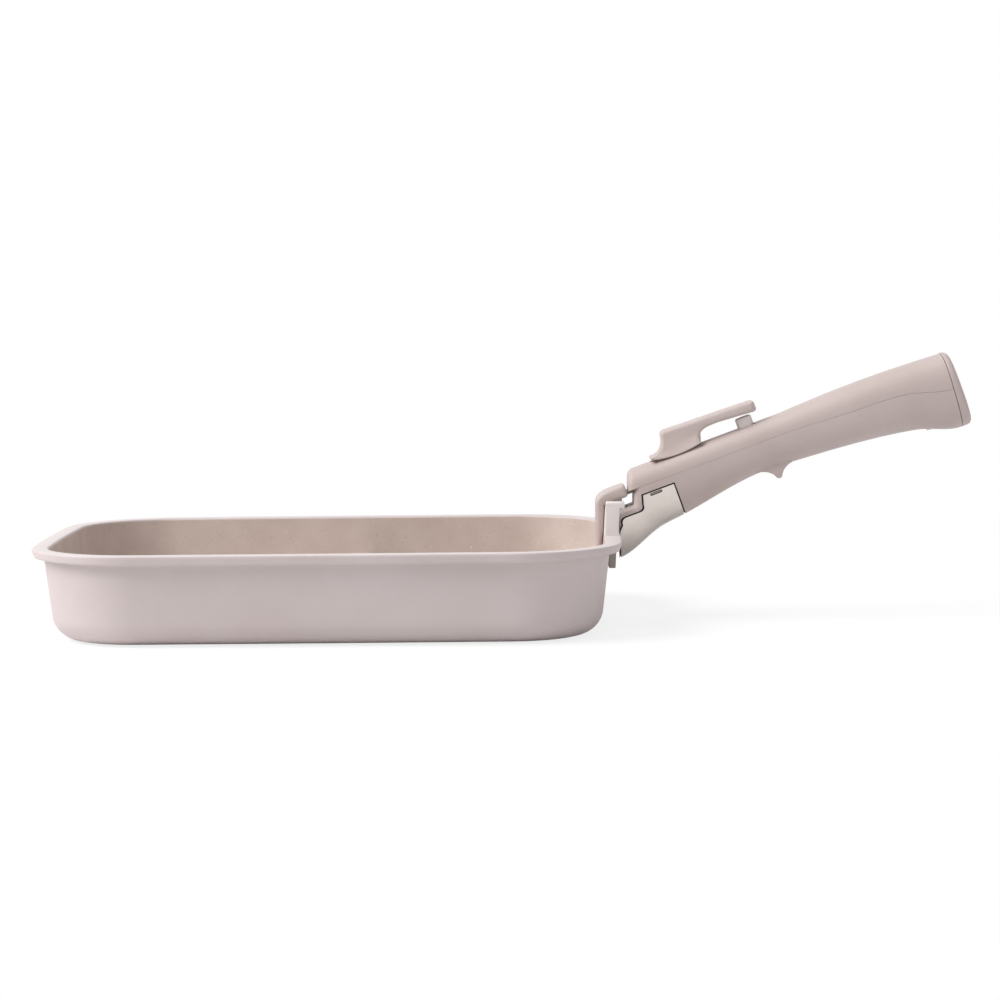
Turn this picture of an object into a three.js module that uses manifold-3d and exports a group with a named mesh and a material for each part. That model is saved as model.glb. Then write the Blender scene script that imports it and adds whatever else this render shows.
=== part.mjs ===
// Divided frying pan with a clip-on clamp handle. Millimetres, +Z up, +X towards the handle.
import * as THREE from "three";
import { mergeVertices } from "three/addons/utils/BufferGeometryUtils.js";
import Module from "manifold-3d";

const wasm = await Module();
wasm.setup();

// Clearances
const GAP = 0.3; // between pieces that touch
const HOLE_GAP = 0.2; // around a screw shank
const RUN_GAP = 0.4; // between pieces that slide

// Pan
const RIM_LENGTH = 275; // middle of one short side to the other
const RIM_WIDTH = 205;
const RIM_CORNER = 50;
const END_BOW = 3.3; // how far a short side bows out past its corners
const SIDE_BOW = 1.3;
const PAN_HEIGHT = 42.5; // rim top above the table
const RIM_LIP = 5.3; // how far the rim stands out from the wall
const RIM_THICKNESS = 4.1;
const RIM_ROUND = 1.3;
const BRINK_ROUND = 2.4; // inner edge of the rim
const WALL = 2.6;
const WALL_DRAFT = THREE.MathUtils.degToRad(6.5);
const FLOOR = 3.2;
const BASE_ROUND = 12;
const RIDGE_X = 8; // the ridge across the pan
const RIDGE_TOP = 21;
const RIDGE_BASE = 9.5;
const RIDGE_CREST = 3.4;

// Base plate and the studs of the casting that hold it
const PLATE_LENGTH = 186;
const PLATE_WIDTH = 118;
const PLATE_CORNER = 26;
const PLATE_THICKNESS = 1.2;
const PLATE_PROUD = 0.3; // how far the plate stands below the casting
const STUD_RADIUS = 3;
const STUD_PITCH_X = 46;
const STUD_PITCH_Y = 36;

// Raised tab of the rim, with a notch in the middle for the handle's jaws
const TAB_DRAFT = THREE.MathUtils.degToRad(3);
const TAB_RISE = 15.7; // above the rim
const TAB_HALF = 22;
const NOTCH_RISE = 13;
const NOTCH_HALF = 13.5;
const RIB_HALF = 16.7; // inner side of the ribs
const RIB_DEPTH = 6.7;
const RIB_FLARE = 0.7; // where a rib runs out into the rim
const HORN_DEPTH = 8.7;
const HORN_THICKNESS = 3;
const TAB_ROUND = 0.8;

// Handle frame: u runs back along the grip, v is square to it
const HANDLE_OUT = 3.35; // origin beyond the rim
const HANDLE_UP = 19.35; // origin above the rim
const HANDLE_TILT = THREE.MathUtils.degToRad(20);

// Grip shells
const SHELL = 2.2;
const SEAM = 0.3;
const SQUARENESS = 2.7; // superellipse power of the grip's section
const SECTION_STEPS = 12;
const GRIP_END = 161.5;
const NOSE = 0.6;
const NOSE_ROUND = 2.6;
const GRIP_TOP = 9.4;
const CHIN_U = -14.4; // places along u where the grip's lines turn
const WAIST_U = 60;
const PALM_START = 80;
const HEEL_U = 140;
const PALM_RISE = 1.3;
const GRIP_HALF = 12;
const HEEL_HALF = 14.7;
const PARTING = 0.5; // between the shells, up to the palm
const PALM_PARTING = -0.8;
const HEEL_PARTING = -2.2;
const END_PARTING = -7.4;
const CHIN_BELLY = -29; // underside of the grip
const SCREW_BELLY = -21.6;
const GUARD_BELLY = -20;
const WAIST_BELLY = -14.1;
const PALM_BELLY = -14.5;
const HEEL_BELLY = -20.8;
const END_BELLY = -27;
const HEEL_LEAN = 0.06; // lean of the joint with the end cap
const CHIN_FRONT = -0.1; // past the rim
const CHIN_TOP = -6.6;
const LOWER_OUT = 5.2; // front of the lower shell over the chin, past the rim
const CAVITY_FRONT = 5;
const CHIN_ROOM = -4; // front of the room behind the chin
const STOP_U = 71; // finger stop
const STOP_DEPTH = 5.4;
const STOP_HALF = 7.5;
const STOP_LEAD = 10;
const STOP_TAIL = 8;
const STOP_TIP = 1.2;

// End cap
const CAP_THICKNESS = 4.4;
const CAP_ROUND = 2.4;
const SPIGOT = 4;

// Flame guard
const GUARD_SHEET = 0.8;
const GUARD_TOP = -3.7;
const GUARD_REAR = 22.2;
const GUARD_STEP = -10.9;
const GUARD_STEP_U = 6.7;
const GUARD_LEAN = 1.3; // how far its front edge runs forward below the top
const GUARD_TURN = 2.8;
const GUARD_BROW_U = -4.2; // where the edge along the chin turns down
const GUARD_BROW = 3;
const GUARD_CHEEK_U = -9.6; // from here the edge runs down to the chin's toe
const GUARD_CHEEK = -16.5;
const GUARD_SLOT_U = 13;
const GUARD_SLOT_LENGTH = 6.2;
const GUARD_SLOT_HEIGHT = 1.4;
const GUARD_SLOT_LEVEL = -1.1; // from the top edge
const GUARD_SCREW_U = 10;
const GUARD_SCREW_LENGTH = 5;

// Sliding jaw
const TRAVEL = 12;
const STRIP = 1.4;
const STRIP_HALF = 7;
const STRIP_V = -0.45; // middle of the strip
const STRIP_TURN = 2.5;
const STRIP_TAIL = 2.5; // behind the lock's slot
const LEG_RISE = -9; // leg tip from the rim
const LEG_STEEL_RISE = -0.5;
const LEG_DEPTH = 4;
const LEG_SET = 0.4; // how far the steel sits forward in the leg
const LEG_TIP = 1.6;
const JAW_HALF = 10;
const ARM_TOP = 3.9;
const ARM_BOTTOM = -1.9;
const ARM_END = 0.5;
const ARM_ROUND = 1.6;
const SHOULDER = 3;
const JAW_EDGE = 0.6;

// Fixed jaw
const FIXED_HALF = 11;
const FIXED_TIP = -16.7; // from the rim
const FIXED_STEP = -6.5;
const FIXED_TOP = 8;
const FIXED_THICKNESS = 3.4;
const FIXED_ROUND = 0.8;
const FIXED_SCREW_Y = 6;
const FIXED_SCREW_RISE = 1;
const FIXED_SCREW_LENGTH = 8;

// Channel that the strip runs in
const CHANNEL_SHEET = 1.2;
const CHANNEL_FRONT = 8;
const CHANNEL_TAIL = 10; // behind the strip
const CHANNEL_SCREW_LEAD = 13.5; // ahead of the lock
const CHANNEL_SCREW_LENGTH = 8;

// Thumb slide and its carriage
const FOOT_FRONT = 15.8;
const FOOT_REAR = 41.6;
const FOOT_LOW = 10.8; // underside of the foot's front tip
const FOOT_HIGH = 12.1;
const FOOT_DIP = 6.9; // what the foot's lower edge bends towards
const FOOT_BACK = 10;
const THUMB_TOP = 21.3;
const THUMB_NOSE = 24.5;
const THUMB_ROUND = 2.3;
const TAIL_END = 71.7;
const TAIL_TOP = 20.1;
const TAIL_BOTTOM = 14.9;
const TAIL_ROUND = 1.1;
const ARCH_TOP = 16.1;
const ARCH_REACH = 11.4; // from the foot back to the arch's top
const THUMB_EDGE = 0.5;
const THUMB_HALF = 9;
const STEM_FRONT = 28;
const STEM_REAR = 41;
const STEM_HALF = 3;
const CARRIAGE_HALF = 6;
const SLIDE_SCREWS = [31.5, 38];
const SLIDE_SCREW_LENGTH = 15;
const PEG = 3;

// Lock button
const BUTTON_U = 64.5;
const BUTTON_LENGTH = 7.9;
const BUTTON_HALF = 4;
const BUTTON_TOP = 14;
const BUTTON_FLANGE = 1.5;
const BUTTON_FLANGE_OUT = 1.4;
const BUTTON_FLANGE_TOP = 5.7;
const PIN_RADIUS = 1.6;
const PIN_COVER = 2.5; // resin over the pin's top
const COLLAR_RADIUS = 3;
const COLLAR = 1.6;
const NIB = 1.2;

// Springs
const CLAMP_SPRING_RADIUS = 2;
const CLAMP_SPRING_V = 4.3;
const CLAMP_SPRING_TURNS = 10;
const LOCK_SPRING_RADIUS = 2.4;
const LOCK_SPRING_TURNS = 5;
const WIRE = 0.6;

// Screws
const SCREW_RADIUS = 1.5;
const SCREW_HEAD = 2.8;
const SCREW_HEAD_HEIGHT = 1.6;
const BOSS_RADIUS = 3.8;
const SHELL_SCREW_LEAD = 9; // behind the channel
const SHELL_SCREW_REAR = 150;
const SHELL_SCREW_LENGTH = 15;
const SHELL_SCREW_DEPTH = 5; // from the lower surface to the head's seat

// Colours from the photograph
function finish(color, roughness, metalness) {
  return new THREE.MeshStandardMaterial({ color, roughness, metalness });
}
const coating = () => finish(0xbcb0b0, 0.5, 0.2);
const resin = () => finish(0xa89d98, 0.6, 0);
const steel = () => finish(0xb9b7b2, 0.35, 1);
const darkResin = () => finish(0x827b76, 0.7, 0);

// Solids and booleans
function solid(geometry) {
  geometry.deleteAttribute("normal");
  geometry.deleteAttribute("uv");
  const merged = mergeVertices(geometry, 1e-4);
  return new wasm.Manifold(
    new wasm.Mesh({
      numProp: 3,
      vertProperties: new Float32Array(merged.attributes.position.array),
      triVerts: new Uint32Array(merged.index.array),
    }),
  );
}
const join = (...geometries) => wasm.Manifold.union(geometries);
const cut = (body, ...tools) => wasm.Manifold.difference([body, ...tools]);
const meet = (a, b) => wasm.Manifold.intersection([a, b]);

function mesh(name, body, material) {
  const { vertProperties, triVerts } = body.getMesh();
  const geometry = new THREE.BufferGeometry()
    .setAttribute("position", new THREE.BufferAttribute(vertProperties, 3))
    .setIndex(new THREE.BufferAttribute(triVerts, 1))
    .toNonIndexed();
  geometry.computeVertexNormals();
  const made = new THREE.Mesh(geometry, material);
  made.name = name;
  return made;
}

// A closed skin over rings of equal length, each wound anticlockwise about the way they run
function loft(rings) {
  const count = rings[0].length;
  const points = rings.flat();
  const middle = (ring) => ring.reduce((sum, p) => sum.add(p), new THREE.Vector3()).divideScalar(count);
  points.push(middle(rings[0]), middle(rings.at(-1)));
  const last = (rings.length - 1) * count;
  const index = [];
  for (let j = 0; j < count; j++) {
    const k = (j + 1) % count;
    index.push(points.length - 2, k, j);
    index.push(points.length - 1, last + j, last + k);
    for (let row = 0; row < last; row += count) {
      index.push(row + j, row + k, row + count + k);
      index.push(row + j, row + count + k, row + count + j);
    }
  }
  return new THREE.BufferGeometry().setFromPoints(points).setIndex(index);
}

// A side outline in X and Z, carried across from one Y to another
function prism(outline, fromY, toY, round = 0) {
  const bevel = { bevelEnabled: round > 0, bevelSize: round, bevelThickness: round, bevelOffset: -round };
  const depth = toY - fromY - 2 * round;
  return new THREE.ExtrudeGeometry(outline, { depth, ...bevel, bevelSegments: 2, curveSegments: 5 })
    .rotateX(Math.PI / 2)
    .translate(0, toY - round, 0);
}

function polygon(points) {
  return new THREE.Shape(points.map(([x, y]) => new THREE.Vector2(x, y)));
}

function box(fromX, toX, fromY, toY, fromZ, toZ) {
  return new THREE.BoxGeometry(toX - fromX, toY - fromY, toZ - fromZ).translate(
    (fromX + toX) / 2,
    (fromY + toY) / 2,
    (fromZ + toZ) / 2,
  );
}

function cone(fromRadius, toRadius, fromZ, toZ, sides = 12) {
  return new THREE.CylinderGeometry(toRadius, fromRadius, toZ - fromZ, sides)
    .rotateX(Math.PI / 2)
    .translate(0, 0, (fromZ + toZ) / 2);
}

const post = (x, y, radius, fromZ, toZ, sides) => cone(radius, radius, fromZ, toZ, sides).translate(x, y, 0);

const steps = (count) => Array.from({ length: count + 1 }, (_, i) => i / count);

// A screw standing on its head: the head's seat is at Z 0, the shank rises from it
function screw(length, countersunk) {
  const seat = countersunk ? SCREW_RADIUS : SCREW_HEAD;
  const profile = [
    [0, -SCREW_HEAD_HEIGHT],
    [SCREW_HEAD, -SCREW_HEAD_HEIGHT],
    [seat, 0],
    [SCREW_RADIUS, 0],
    [SCREW_RADIUS, length - SCREW_RADIUS],
    [0, length],
  ];
  const points = profile
    .filter(([r, z], i) => i === 0 || r !== profile[i - 1][0] || z !== profile[i - 1][1])
    .map(([r, z]) => new THREE.Vector2(r, z));
  const turned = solid(new THREE.LatheGeometry(points, 12).rotateX(Math.PI / 2));
  const arm = SCREW_HEAD * 0.55;
  const blade = SCREW_HEAD * 0.14;
  const floor = -SCREW_HEAD_HEIGHT / 2;
  const cross = join(
    solid(box(-arm, arm, -blade, blade, -SCREW_HEAD_HEIGHT - 1, floor)),
    solid(box(-blade, blade, -arm, arm, -SCREW_HEAD_HEIGHT - 1, floor)),
  );
  return cut(turned, cross);
}

function placed(name, body, material, x, y, z, tilt = 0) {
  const made = mesh(name, body, material);
  made.position.set(x, y, z);
  made.rotation.y = tilt;
  return made;
}

// The pan's outline drawn in by an inset from the rim's outer edge
function panRing(inset, z) {
  const halfLength = RIM_LENGTH / 2 - inset;
  const halfWidth = RIM_WIDTH / 2 - inset;
  const corner = RIM_CORNER - inset;
  const ring = [];
  [[1, 1], [-1, 1], [-1, -1], [1, -1]].forEach(([sideX, sideY], quarter) => {
    for (const t of steps(7)) {
      const angle = (quarter + t) * Math.PI / 2;
      ring.push([
        sideX * (halfLength - corner) + corner * Math.cos(angle),
        sideY * (halfWidth - corner) + corner * Math.sin(angle),
      ]);
    }
    const [nextX, nextY] = quarter % 2 ? [sideX, -sideY] : [-sideX, sideY];
    const [x, y] = ring.at(-1);
    const endX = quarter % 2 ? x : nextX * (halfLength - corner);
    const endY = quarter % 2 ? nextY * (halfWidth - corner) : y;
    for (const t of [0.25, 0.5, 0.75]) ring.push([x + (endX - x) * t, y + (endY - y) * t]);
  });
  return ring.map(([x, y]) => {
    const drawnX = (END_BOW / (RIM_LENGTH / 2)) * (y / (RIM_WIDTH / 2)) ** 2;
    const drawnY = (SIDE_BOW / (RIM_WIDTH / 2)) * (x / (RIM_LENGTH / 2)) ** 2;
    return new THREE.Vector3(x * (1 - drawnX), y * (1 - drawnY), z);
  });
}

// Inset of the outer wall, and of the inner one a wall's thickness further in
const outerInset = (z) => RIM_LIP + (PAN_HEIGHT - z) * Math.tan(WALL_DRAFT);
const innerInset = (z) => outerInset(z) + WALL;

// The rounding from a flat base up into a drafted wall, as pairs of inset and height
function baseRounding(wallInset, base, radius) {
  const centreZ = base + radius;
  const centre = wallInset(centreZ) + radius / Math.cos(WALL_DRAFT);
  return steps(5).map((t) => {
    const angle = t * (Math.PI / 2 - WALL_DRAFT);
    return [centre - radius * Math.sin(angle), centreZ - radius * Math.cos(angle)];
  });
}

const rimUnder = PAN_HEIGHT - RIM_THICKNESS;
const floorTop = PLATE_PROUD + FLOOR;

// Dividing ridge: a rounded section in Y and Z, run along X
function ridge(from, to) {
  const section = new THREE.Shape();
  const root = floorTop - FLOOR / 2;
  section.moveTo(-RIDGE_BASE / 2, root);
  section.lineTo(RIDGE_BASE / 2, root);
  section.lineTo(RIDGE_CREST / 2, RIDGE_TOP - RIDGE_CREST / 2);
  section.absarc(0, RIDGE_TOP - RIDGE_CREST / 2, RIDGE_CREST / 2, 0, Math.PI);
  return new THREE.ExtrudeGeometry(section, { depth: to - from, bevelEnabled: false, curveSegments: 6 })
    .rotateX(Math.PI / 2)
    .rotateZ(Math.PI / 2)
    .translate(from, 0, 0);
}

const tabX = (z) => RIM_LENGTH / 2 - innerInset(PAN_HEIGHT) + (z - PAN_HEIGHT) * Math.tan(TAB_DRAFT);
const wallX = (z) => RIM_LENGTH / 2 - innerInset(z);
const tabTop = PAN_HEIGHT + TAB_RISE;
const notchTop = PAN_HEIGHT + NOTCH_RISE;
const tabRoot = PAN_HEIGHT - BRINK_ROUND;

// The tab: a plate that carries the wall up, ribs where the rim turns up beside it, horns over the ribs
function tab() {
  const plate = polygon([
    [wallX(tabRoot), tabRoot],
    [wallX(tabRoot) + WALL, tabRoot],
    [tabX(notchTop) + WALL, notchTop],
    [tabX(notchTop), notchTop],
  ]);
  const ribX = tabX(PAN_HEIGHT) + RIB_DEPTH;
  const rib = new THREE.Shape();
  rib.moveTo(wallX(tabRoot), tabRoot);
  rib.lineTo(ribX + RIB_FLARE, tabRoot);
  rib.lineTo(ribX + RIB_FLARE, PAN_HEIGHT);
  rib.quadraticCurveTo(ribX, PAN_HEIGHT, ribX, PAN_HEIGHT + 2 * RIB_FLARE);
  rib.lineTo(tabX(tabTop) + RIB_DEPTH, tabTop - TAB_ROUND);
  rib.lineTo(tabX(tabTop), tabTop - TAB_ROUND);
  const hornRoot = tabTop - HORN_THICKNESS;
  const horn = polygon([
    [tabX(hornRoot), hornRoot],
    [tabX(hornRoot) + HORN_DEPTH, hornRoot],
    [tabX(tabTop) + HORN_DEPTH, tabTop],
    [tabX(tabTop), tabTop],
  ]);
  const pieces = [solid(prism(plate, -TAB_HALF + TAB_ROUND, TAB_HALF - TAB_ROUND, TAB_ROUND))];
  const hornPlate = polygon([
    [tabX(hornRoot), notchTop - 2 * TAB_ROUND],
    [tabX(hornRoot) + WALL, notchTop - 2 * TAB_ROUND],
    [tabX(hornRoot) + WALL, tabTop - TAB_ROUND],
    [tabX(hornRoot), tabTop - TAB_ROUND],
  ]);
  for (const side of [-1, 1]) {
    const span = (inner) => [side * inner, side * TAB_HALF].sort((a, b) => a - b);
    pieces.push(solid(prism(rib, ...span(RIB_HALF), TAB_ROUND)));
    pieces.push(solid(prism(horn, ...span(NOTCH_HALF), TAB_ROUND)));
    pieces.push(solid(prism(hornPlate, ...span(NOTCH_HALF))));
  }
  return join(...pieces);
}

// What the notch takes out of the rim so that the fixed jaw can lie against the wall
function notch() {
  const below = rimUnder - RIM_ROUND;
  const outline = polygon([
    [wallX(below) + WALL, below],
    [RIM_LENGTH / 2 + RIM_LIP, below],
    [RIM_LENGTH / 2 + RIM_LIP, tabTop + 1],
    [tabX(tabTop + 1) + WALL, tabTop + 1],
    [tabX(PAN_HEIGHT) + WALL, PAN_HEIGHT],
  ]);
  return solid(prism(outline, -NOTCH_HALF, NOTCH_HALF));
}

function plateOutline(grow) {
  const halfLength = PLATE_LENGTH / 2 + grow;
  const halfWidth = PLATE_WIDTH / 2 + grow;
  const corner = PLATE_CORNER + grow;
  const outline = new THREE.Shape();
  outline.absarc(halfLength - corner, halfWidth - corner, corner, 0, Math.PI / 2);
  outline.absarc(corner - halfLength, halfWidth - corner, corner, Math.PI / 2, Math.PI);
  outline.absarc(corner - halfLength, corner - halfWidth, corner, Math.PI, 1.5 * Math.PI);
  outline.absarc(halfLength - corner, corner - halfWidth, corner, 1.5 * Math.PI, 2 * Math.PI);
  return outline;
}

const studs = [-1.5, -0.5, 0.5, 1.5].flatMap((i) =>
  [-1, 0, 1].map((j) => [i * STUD_PITCH_X, j * STUD_PITCH_Y]),
);

// A flat outline on Z 0, raised to a height
function flat(outline, depth) {
  return solid(new THREE.ExtrudeGeometry(outline, { depth, bevelEnabled: false, curveSegments: 6 }));
}

function panBody() {
  const outside = [
    ...baseRounding(outerInset, PLATE_PROUD, BASE_ROUND),
    [outerInset(rimUnder), rimUnder],
    [RIM_ROUND, rimUnder],
    [0, rimUnder + RIM_ROUND],
    [0, PAN_HEIGHT - RIM_ROUND],
    [RIM_ROUND * 0.3, PAN_HEIGHT - RIM_ROUND * 0.3],
    [RIM_ROUND, PAN_HEIGHT],
  ];
  const inside = [
    [innerInset(tabRoot) - BRINK_ROUND, PAN_HEIGHT],
    [innerInset(tabRoot) - BRINK_ROUND * 0.3, PAN_HEIGHT - BRINK_ROUND * 0.3],
    [innerInset(tabRoot), tabRoot],
    ...baseRounding(innerInset, floorTop, BASE_ROUND - WALL).reverse(),
  ];
  const dish = solid(loft([...outside, ...inside].map(([inset, z]) => panRing(inset, z))));
  const midInset = (z) => outerInset(z) + WALL / 2;
  const blankSides = baseRounding(midInset, floorTop - FLOOR / 2, BASE_ROUND - WALL / 2);
  const blankTop = RIDGE_TOP + 1;
  blankSides.push([midInset(blankTop), blankTop]);
  const blank = solid(loft(blankSides.map(([inset, z]) => panRing(inset, z))));
  const across = solid(ridge(-RIM_WIDTH / 2, RIM_WIDTH / 2).rotateZ(Math.PI / 2).translate(RIDGE_X, 0, 0));
  const along = solid(ridge(-RIM_LENGTH / 2, RIDGE_X));
  const ridges = meet(join(across, along), blank);
  const recessTop = PLATE_THICKNESS + GAP;
  const recess = flat(plateOutline(GAP), recessTop);
  const casting = cut(join(cut(dish, recess), ridges, tab()), notch());
  const pegs = studs.map(([x, y]) => solid(post(x, y, STUD_RADIUS, PLATE_PROUD, recessTop + GAP, 10)));
  return join(casting, ...pegs);
}

function basePlate() {
  const sheet = flat(plateOutline(0), PLATE_THICKNESS);
  const holes = studs.map(([x, y]) => solid(post(x, y, STUD_RADIUS + GAP, -1, PLATE_THICKNESS + 1, 10)));
  return cut(sheet, ...holes);
}

// The handle's own frame: its group, and the ways between it and the pan's frame
const handle = new THREE.Group();
handle.position.set(RIM_LENGTH / 2 + HANDLE_OUT, 0, PAN_HEIGHT + HANDLE_UP);
handle.rotation.y = -HANDLE_TILT;
handle.updateMatrix();
const intoHandle = handle.matrix.clone().invert();
const plumb = (geometry) => geometry.applyMatrix4(intoHandle);

// The point at height v of the handle's frame that has a given X of the pan's frame
function onLine(v, x) {
  const u = (x - handle.position.x + v * Math.sin(HANDLE_TILT)) / Math.cos(HANDLE_TILT);
  return new THREE.Vector3(u, 0, v).applyMatrix4(handle.matrix);
}
const onHandle = (u, v) => new THREE.Vector3(u, 0, v).applyMatrix4(handle.matrix);

// Curves of the grip along u
function through(knots) {
  const curve = new THREE.CubicInterpolant(knots.map((k) => k[0]), knots.map((k) => k[1]), 1);
  return (u) => curve.evaluate(u)[0];
}
const halfWidth = through([[WAIST_U, GRIP_HALF], [HEEL_U, HEEL_HALF], [GRIP_END, HEEL_HALF]]);
const parting = through([
  [PALM_START, PARTING],
  [(PALM_START + HEEL_U) / 2, PALM_PARTING],
  [HEEL_U, HEEL_PARTING],
  [GRIP_END, END_PARTING],
]);
const belly = through([
  [CHIN_U, CHIN_BELLY],
  [GUARD_SCREW_U, SCREW_BELLY],
  [GUARD_REAR, GUARD_BELLY],
  [WAIST_U, WAIST_BELLY],
  [PALM_START, PALM_BELLY],
  [HEEL_U, HEEL_BELLY],
  [GRIP_END, END_BELLY],
]);
function crown(u) {
  const along = THREE.MathUtils.clamp((u - PALM_START) / (GRIP_END - PALM_START), 0, 1);
  return GRIP_TOP + PALM_RISE * Math.sin(Math.PI * along);
}

// The grip's end leans, so that its joint with the cap is not quite square
const heelLean = (u) => HEEL_LEAN * THREE.MathUtils.clamp((u - HEEL_U) / (GRIP_END - HEEL_U), 0, 1);

// Half of the grip's section, side 1 the upper half and -1 the lower, grown and stopped short of the parting
function gripRing(u, side, grow, short, lean = heelLean(u)) {
  const half = halfWidth(u) + grow;
  const middle = parting(u);
  const reach = (side > 0 ? crown(u) - middle : middle - belly(u)) + grow;
  const ring = steps(SECTION_STEPS).map((t) => {
    const c = Math.cos(t * Math.PI);
    const y = half * Math.sign(c) * Math.abs(c) ** (2 / SQUARENESS);
    const rise = reach * Math.sin(t * Math.PI) ** (2 / SQUARENESS);
    return [y, t > 0 && t < 1 ? Math.max(rise, short) : short];
  });
  return ring.map(([y, rise]) => {
    const v = middle + side * rise;
    return new THREE.Vector3(u + lean * v, side * y, v);
  });
}

function gripForm(side, from, to, grow, short) {
  return solid(loft(steps(20).map((t) => gripRing(from + (to - from) * t, side, grow, short))));
}

// The upper form's front rounds over into a nose that stands plumb
function upperForm() {
  const nose = steps(4).map((t) => {
    const angle = (t * Math.PI) / 2;
    const u = NOSE + NOSE_ROUND * (1 - Math.cos(angle));
    return gripRing(u, 1, -NOSE_ROUND * (1 - Math.sin(angle)), SEAM / 2, Math.tan(HANDLE_TILT) * (1 - t / 3));
  });
  const start = NOSE + 2 * NOSE_ROUND;
  const body = steps(18).map((t) => gripRing(start + (GRIP_END - start) * t, 1, 0, SEAM / 2));
  return solid(loft([...nose, ...body]));
}

const FAR = 2 * GRIP_END; // reach of a cutting tool
const slab = (outline) => solid(prism(outline, -FAR, FAR));
const stripTop = STRIP_V + STRIP / 2;
const stripBottom = STRIP_V - STRIP / 2;
const channelTop = stripBottom - GAP;
const channelBottom = channelTop - CHANNEL_SHEET;
const channelLip = stripTop + RUN_GAP;
const stripEnd = BUTTON_U + TRAVEL + PIN_RADIUS + RUN_GAP + STRIP_TAIL;
const channelRear = stripEnd + CHANNEL_TAIL;
const shellScrews = [channelRear + SHELL_SCREW_LEAD, SHELL_SCREW_REAR];
const channelScrews = [BUTTON_U - CHANNEL_SCREW_LEAD, stripEnd + CHANNEL_TAIL / 2];
const ceiling = GRIP_TOP - SHELL;
const shellSeat = (u) => belly(u) + SHELL_SCREW_DEPTH;
const buttonFront = BUTTON_U - BUTTON_LENGTH / 2;
const buttonRear = BUTTON_U + BUTTON_LENGTH / 2;

// An opening through the grip's top, a running gap wider than what moves in it
function opening(front, rear, half) {
  return solid(box(front - RUN_GAP, rear + RUN_GAP, -half - RUN_GAP, half + RUN_GAP, 0, FAR));
}

function upperShell() {
  const cavity = gripForm(1, CAVITY_FRONT, GRIP_END + 1, -SHELL, -SHELL);
  const slot = opening(STEM_FRONT - TRAVEL, STEM_REAR, STEM_HALF);
  const window = opening(buttonFront, buttonRear, BUTTON_HALF);
  const hollow = cut(upperForm(), cavity, slot, window);
  const bosses = shellScrews.map((u) =>
    solid(post(u, 0, BOSS_RADIUS, parting(u) + SEAM / 2, crown(u) - SHELL / 2)),
  );
  const pilots = shellScrews.map((u) =>
    solid(post(u, 0, SCREW_RADIUS + HOLE_GAP, parting(u) - 1, shellSeat(u) + SHELL_SCREW_LENGTH + GAP)),
  );
  return cut(join(hollow, ...bosses), ...pilots);
}

// Side outline of the flame guard, grown for the seat in the shell behind it
function guardOutline(grow) {
  const rear = GUARD_REAR + grow;
  const top = GUARD_TOP + grow;
  const step = GUARD_STEP + grow;
  const front = GUARD_STEP_U - grow;
  const brow = GUARD_BROW_U - grow;
  const bottom = CHIN_BELLY - SHELL;
  const outline = new THREE.Shape();
  outline.moveTo(rear, top);
  outline.lineTo(front, top);
  outline.lineTo(front - GUARD_LEAN, step + GUARD_TURN);
  outline.quadraticCurveTo(front - GUARD_LEAN, step, front - GUARD_LEAN - GUARD_TURN, step);
  outline.lineTo(brow, step);
  outline.quadraticCurveTo(brow - GUARD_BROW, step, brow - GUARD_BROW, step - GUARD_BROW);
  outline.lineTo(GUARD_CHEEK_U - grow, GUARD_CHEEK);
  outline.lineTo(CHIN_U - grow, bottom);
  outline.lineTo(rear, bottom);
  return outline;
}

// Slot near the guard's top edge, and the lug of the shell that stands in it
function guardSlot(grow) {
  const slot = new THREE.Shape();
  const r = GUARD_SLOT_HEIGHT / 2 + grow;
  const reach = (GUARD_SLOT_LENGTH - GUARD_SLOT_HEIGHT) / 2;
  const level = GUARD_TOP + GUARD_SLOT_LEVEL;
  slot.absarc(GUARD_SLOT_U + reach, level, r, -Math.PI / 2, Math.PI / 2);
  slot.absarc(GUARD_SLOT_U - reach, level, r, Math.PI / 2, 1.5 * Math.PI);
  return slab(slot);
}

const guardInside = -GUARD_SHEET - GAP;
const guardSlope = Math.atan(belly(GUARD_SCREW_U + 0.5) - belly(GUARD_SCREW_U - 0.5));
const underGuard = (geometry) => geometry.rotateY(-guardSlope).translate(GUARD_SCREW_U, 0, SCREW_BELLY);
const lowerForm = (grow) => gripForm(-1, CHIN_U, GRIP_END, grow, SEAM / 2);

// Hole for the guard's sunk screw, down from the guard's outside
function guardScrewHole() {
  const shank = post(0, 0, SCREW_RADIUS + HOLE_GAP, GAP, GAP + GUARD_SCREW_LENGTH + GAP);
  const head = post(0, 0, SCREW_HEAD + HOLE_GAP, -GAP, GAP);
  const taper = cone(SCREW_HEAD + HOLE_GAP, SCREW_RADIUS + HOLE_GAP, GAP, GAP + SCREW_HEAD_HEIGHT);
  return join(...[shank, head, taper].map((piece) => solid(underGuard(piece))));
}

function fingerStop() {
  const root = belly(STOP_U);
  const tip = root - STOP_DEPTH;
  const outline = new THREE.Shape();
  outline.moveTo(STOP_U - STOP_LEAD, root + 2 * SHELL);
  outline.lineTo(STOP_U - STOP_LEAD, root);
  outline.quadraticCurveTo(STOP_U - 2.5 * STOP_TIP, root, STOP_U - STOP_TIP, tip + STOP_TIP / 2);
  outline.quadraticCurveTo(STOP_U, tip - STOP_TIP / 2, STOP_U + STOP_TIP, tip + STOP_TIP / 2);
  outline.quadraticCurveTo(STOP_U + 2.3 * STOP_TIP, root - STOP_TIP, STOP_U + STOP_TAIL, root);
  outline.lineTo(STOP_U + STOP_TAIL, root + 2 * SHELL);
  return solid(prism(outline, -STOP_HALF, STOP_HALF, STOP_TIP));
}

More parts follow.
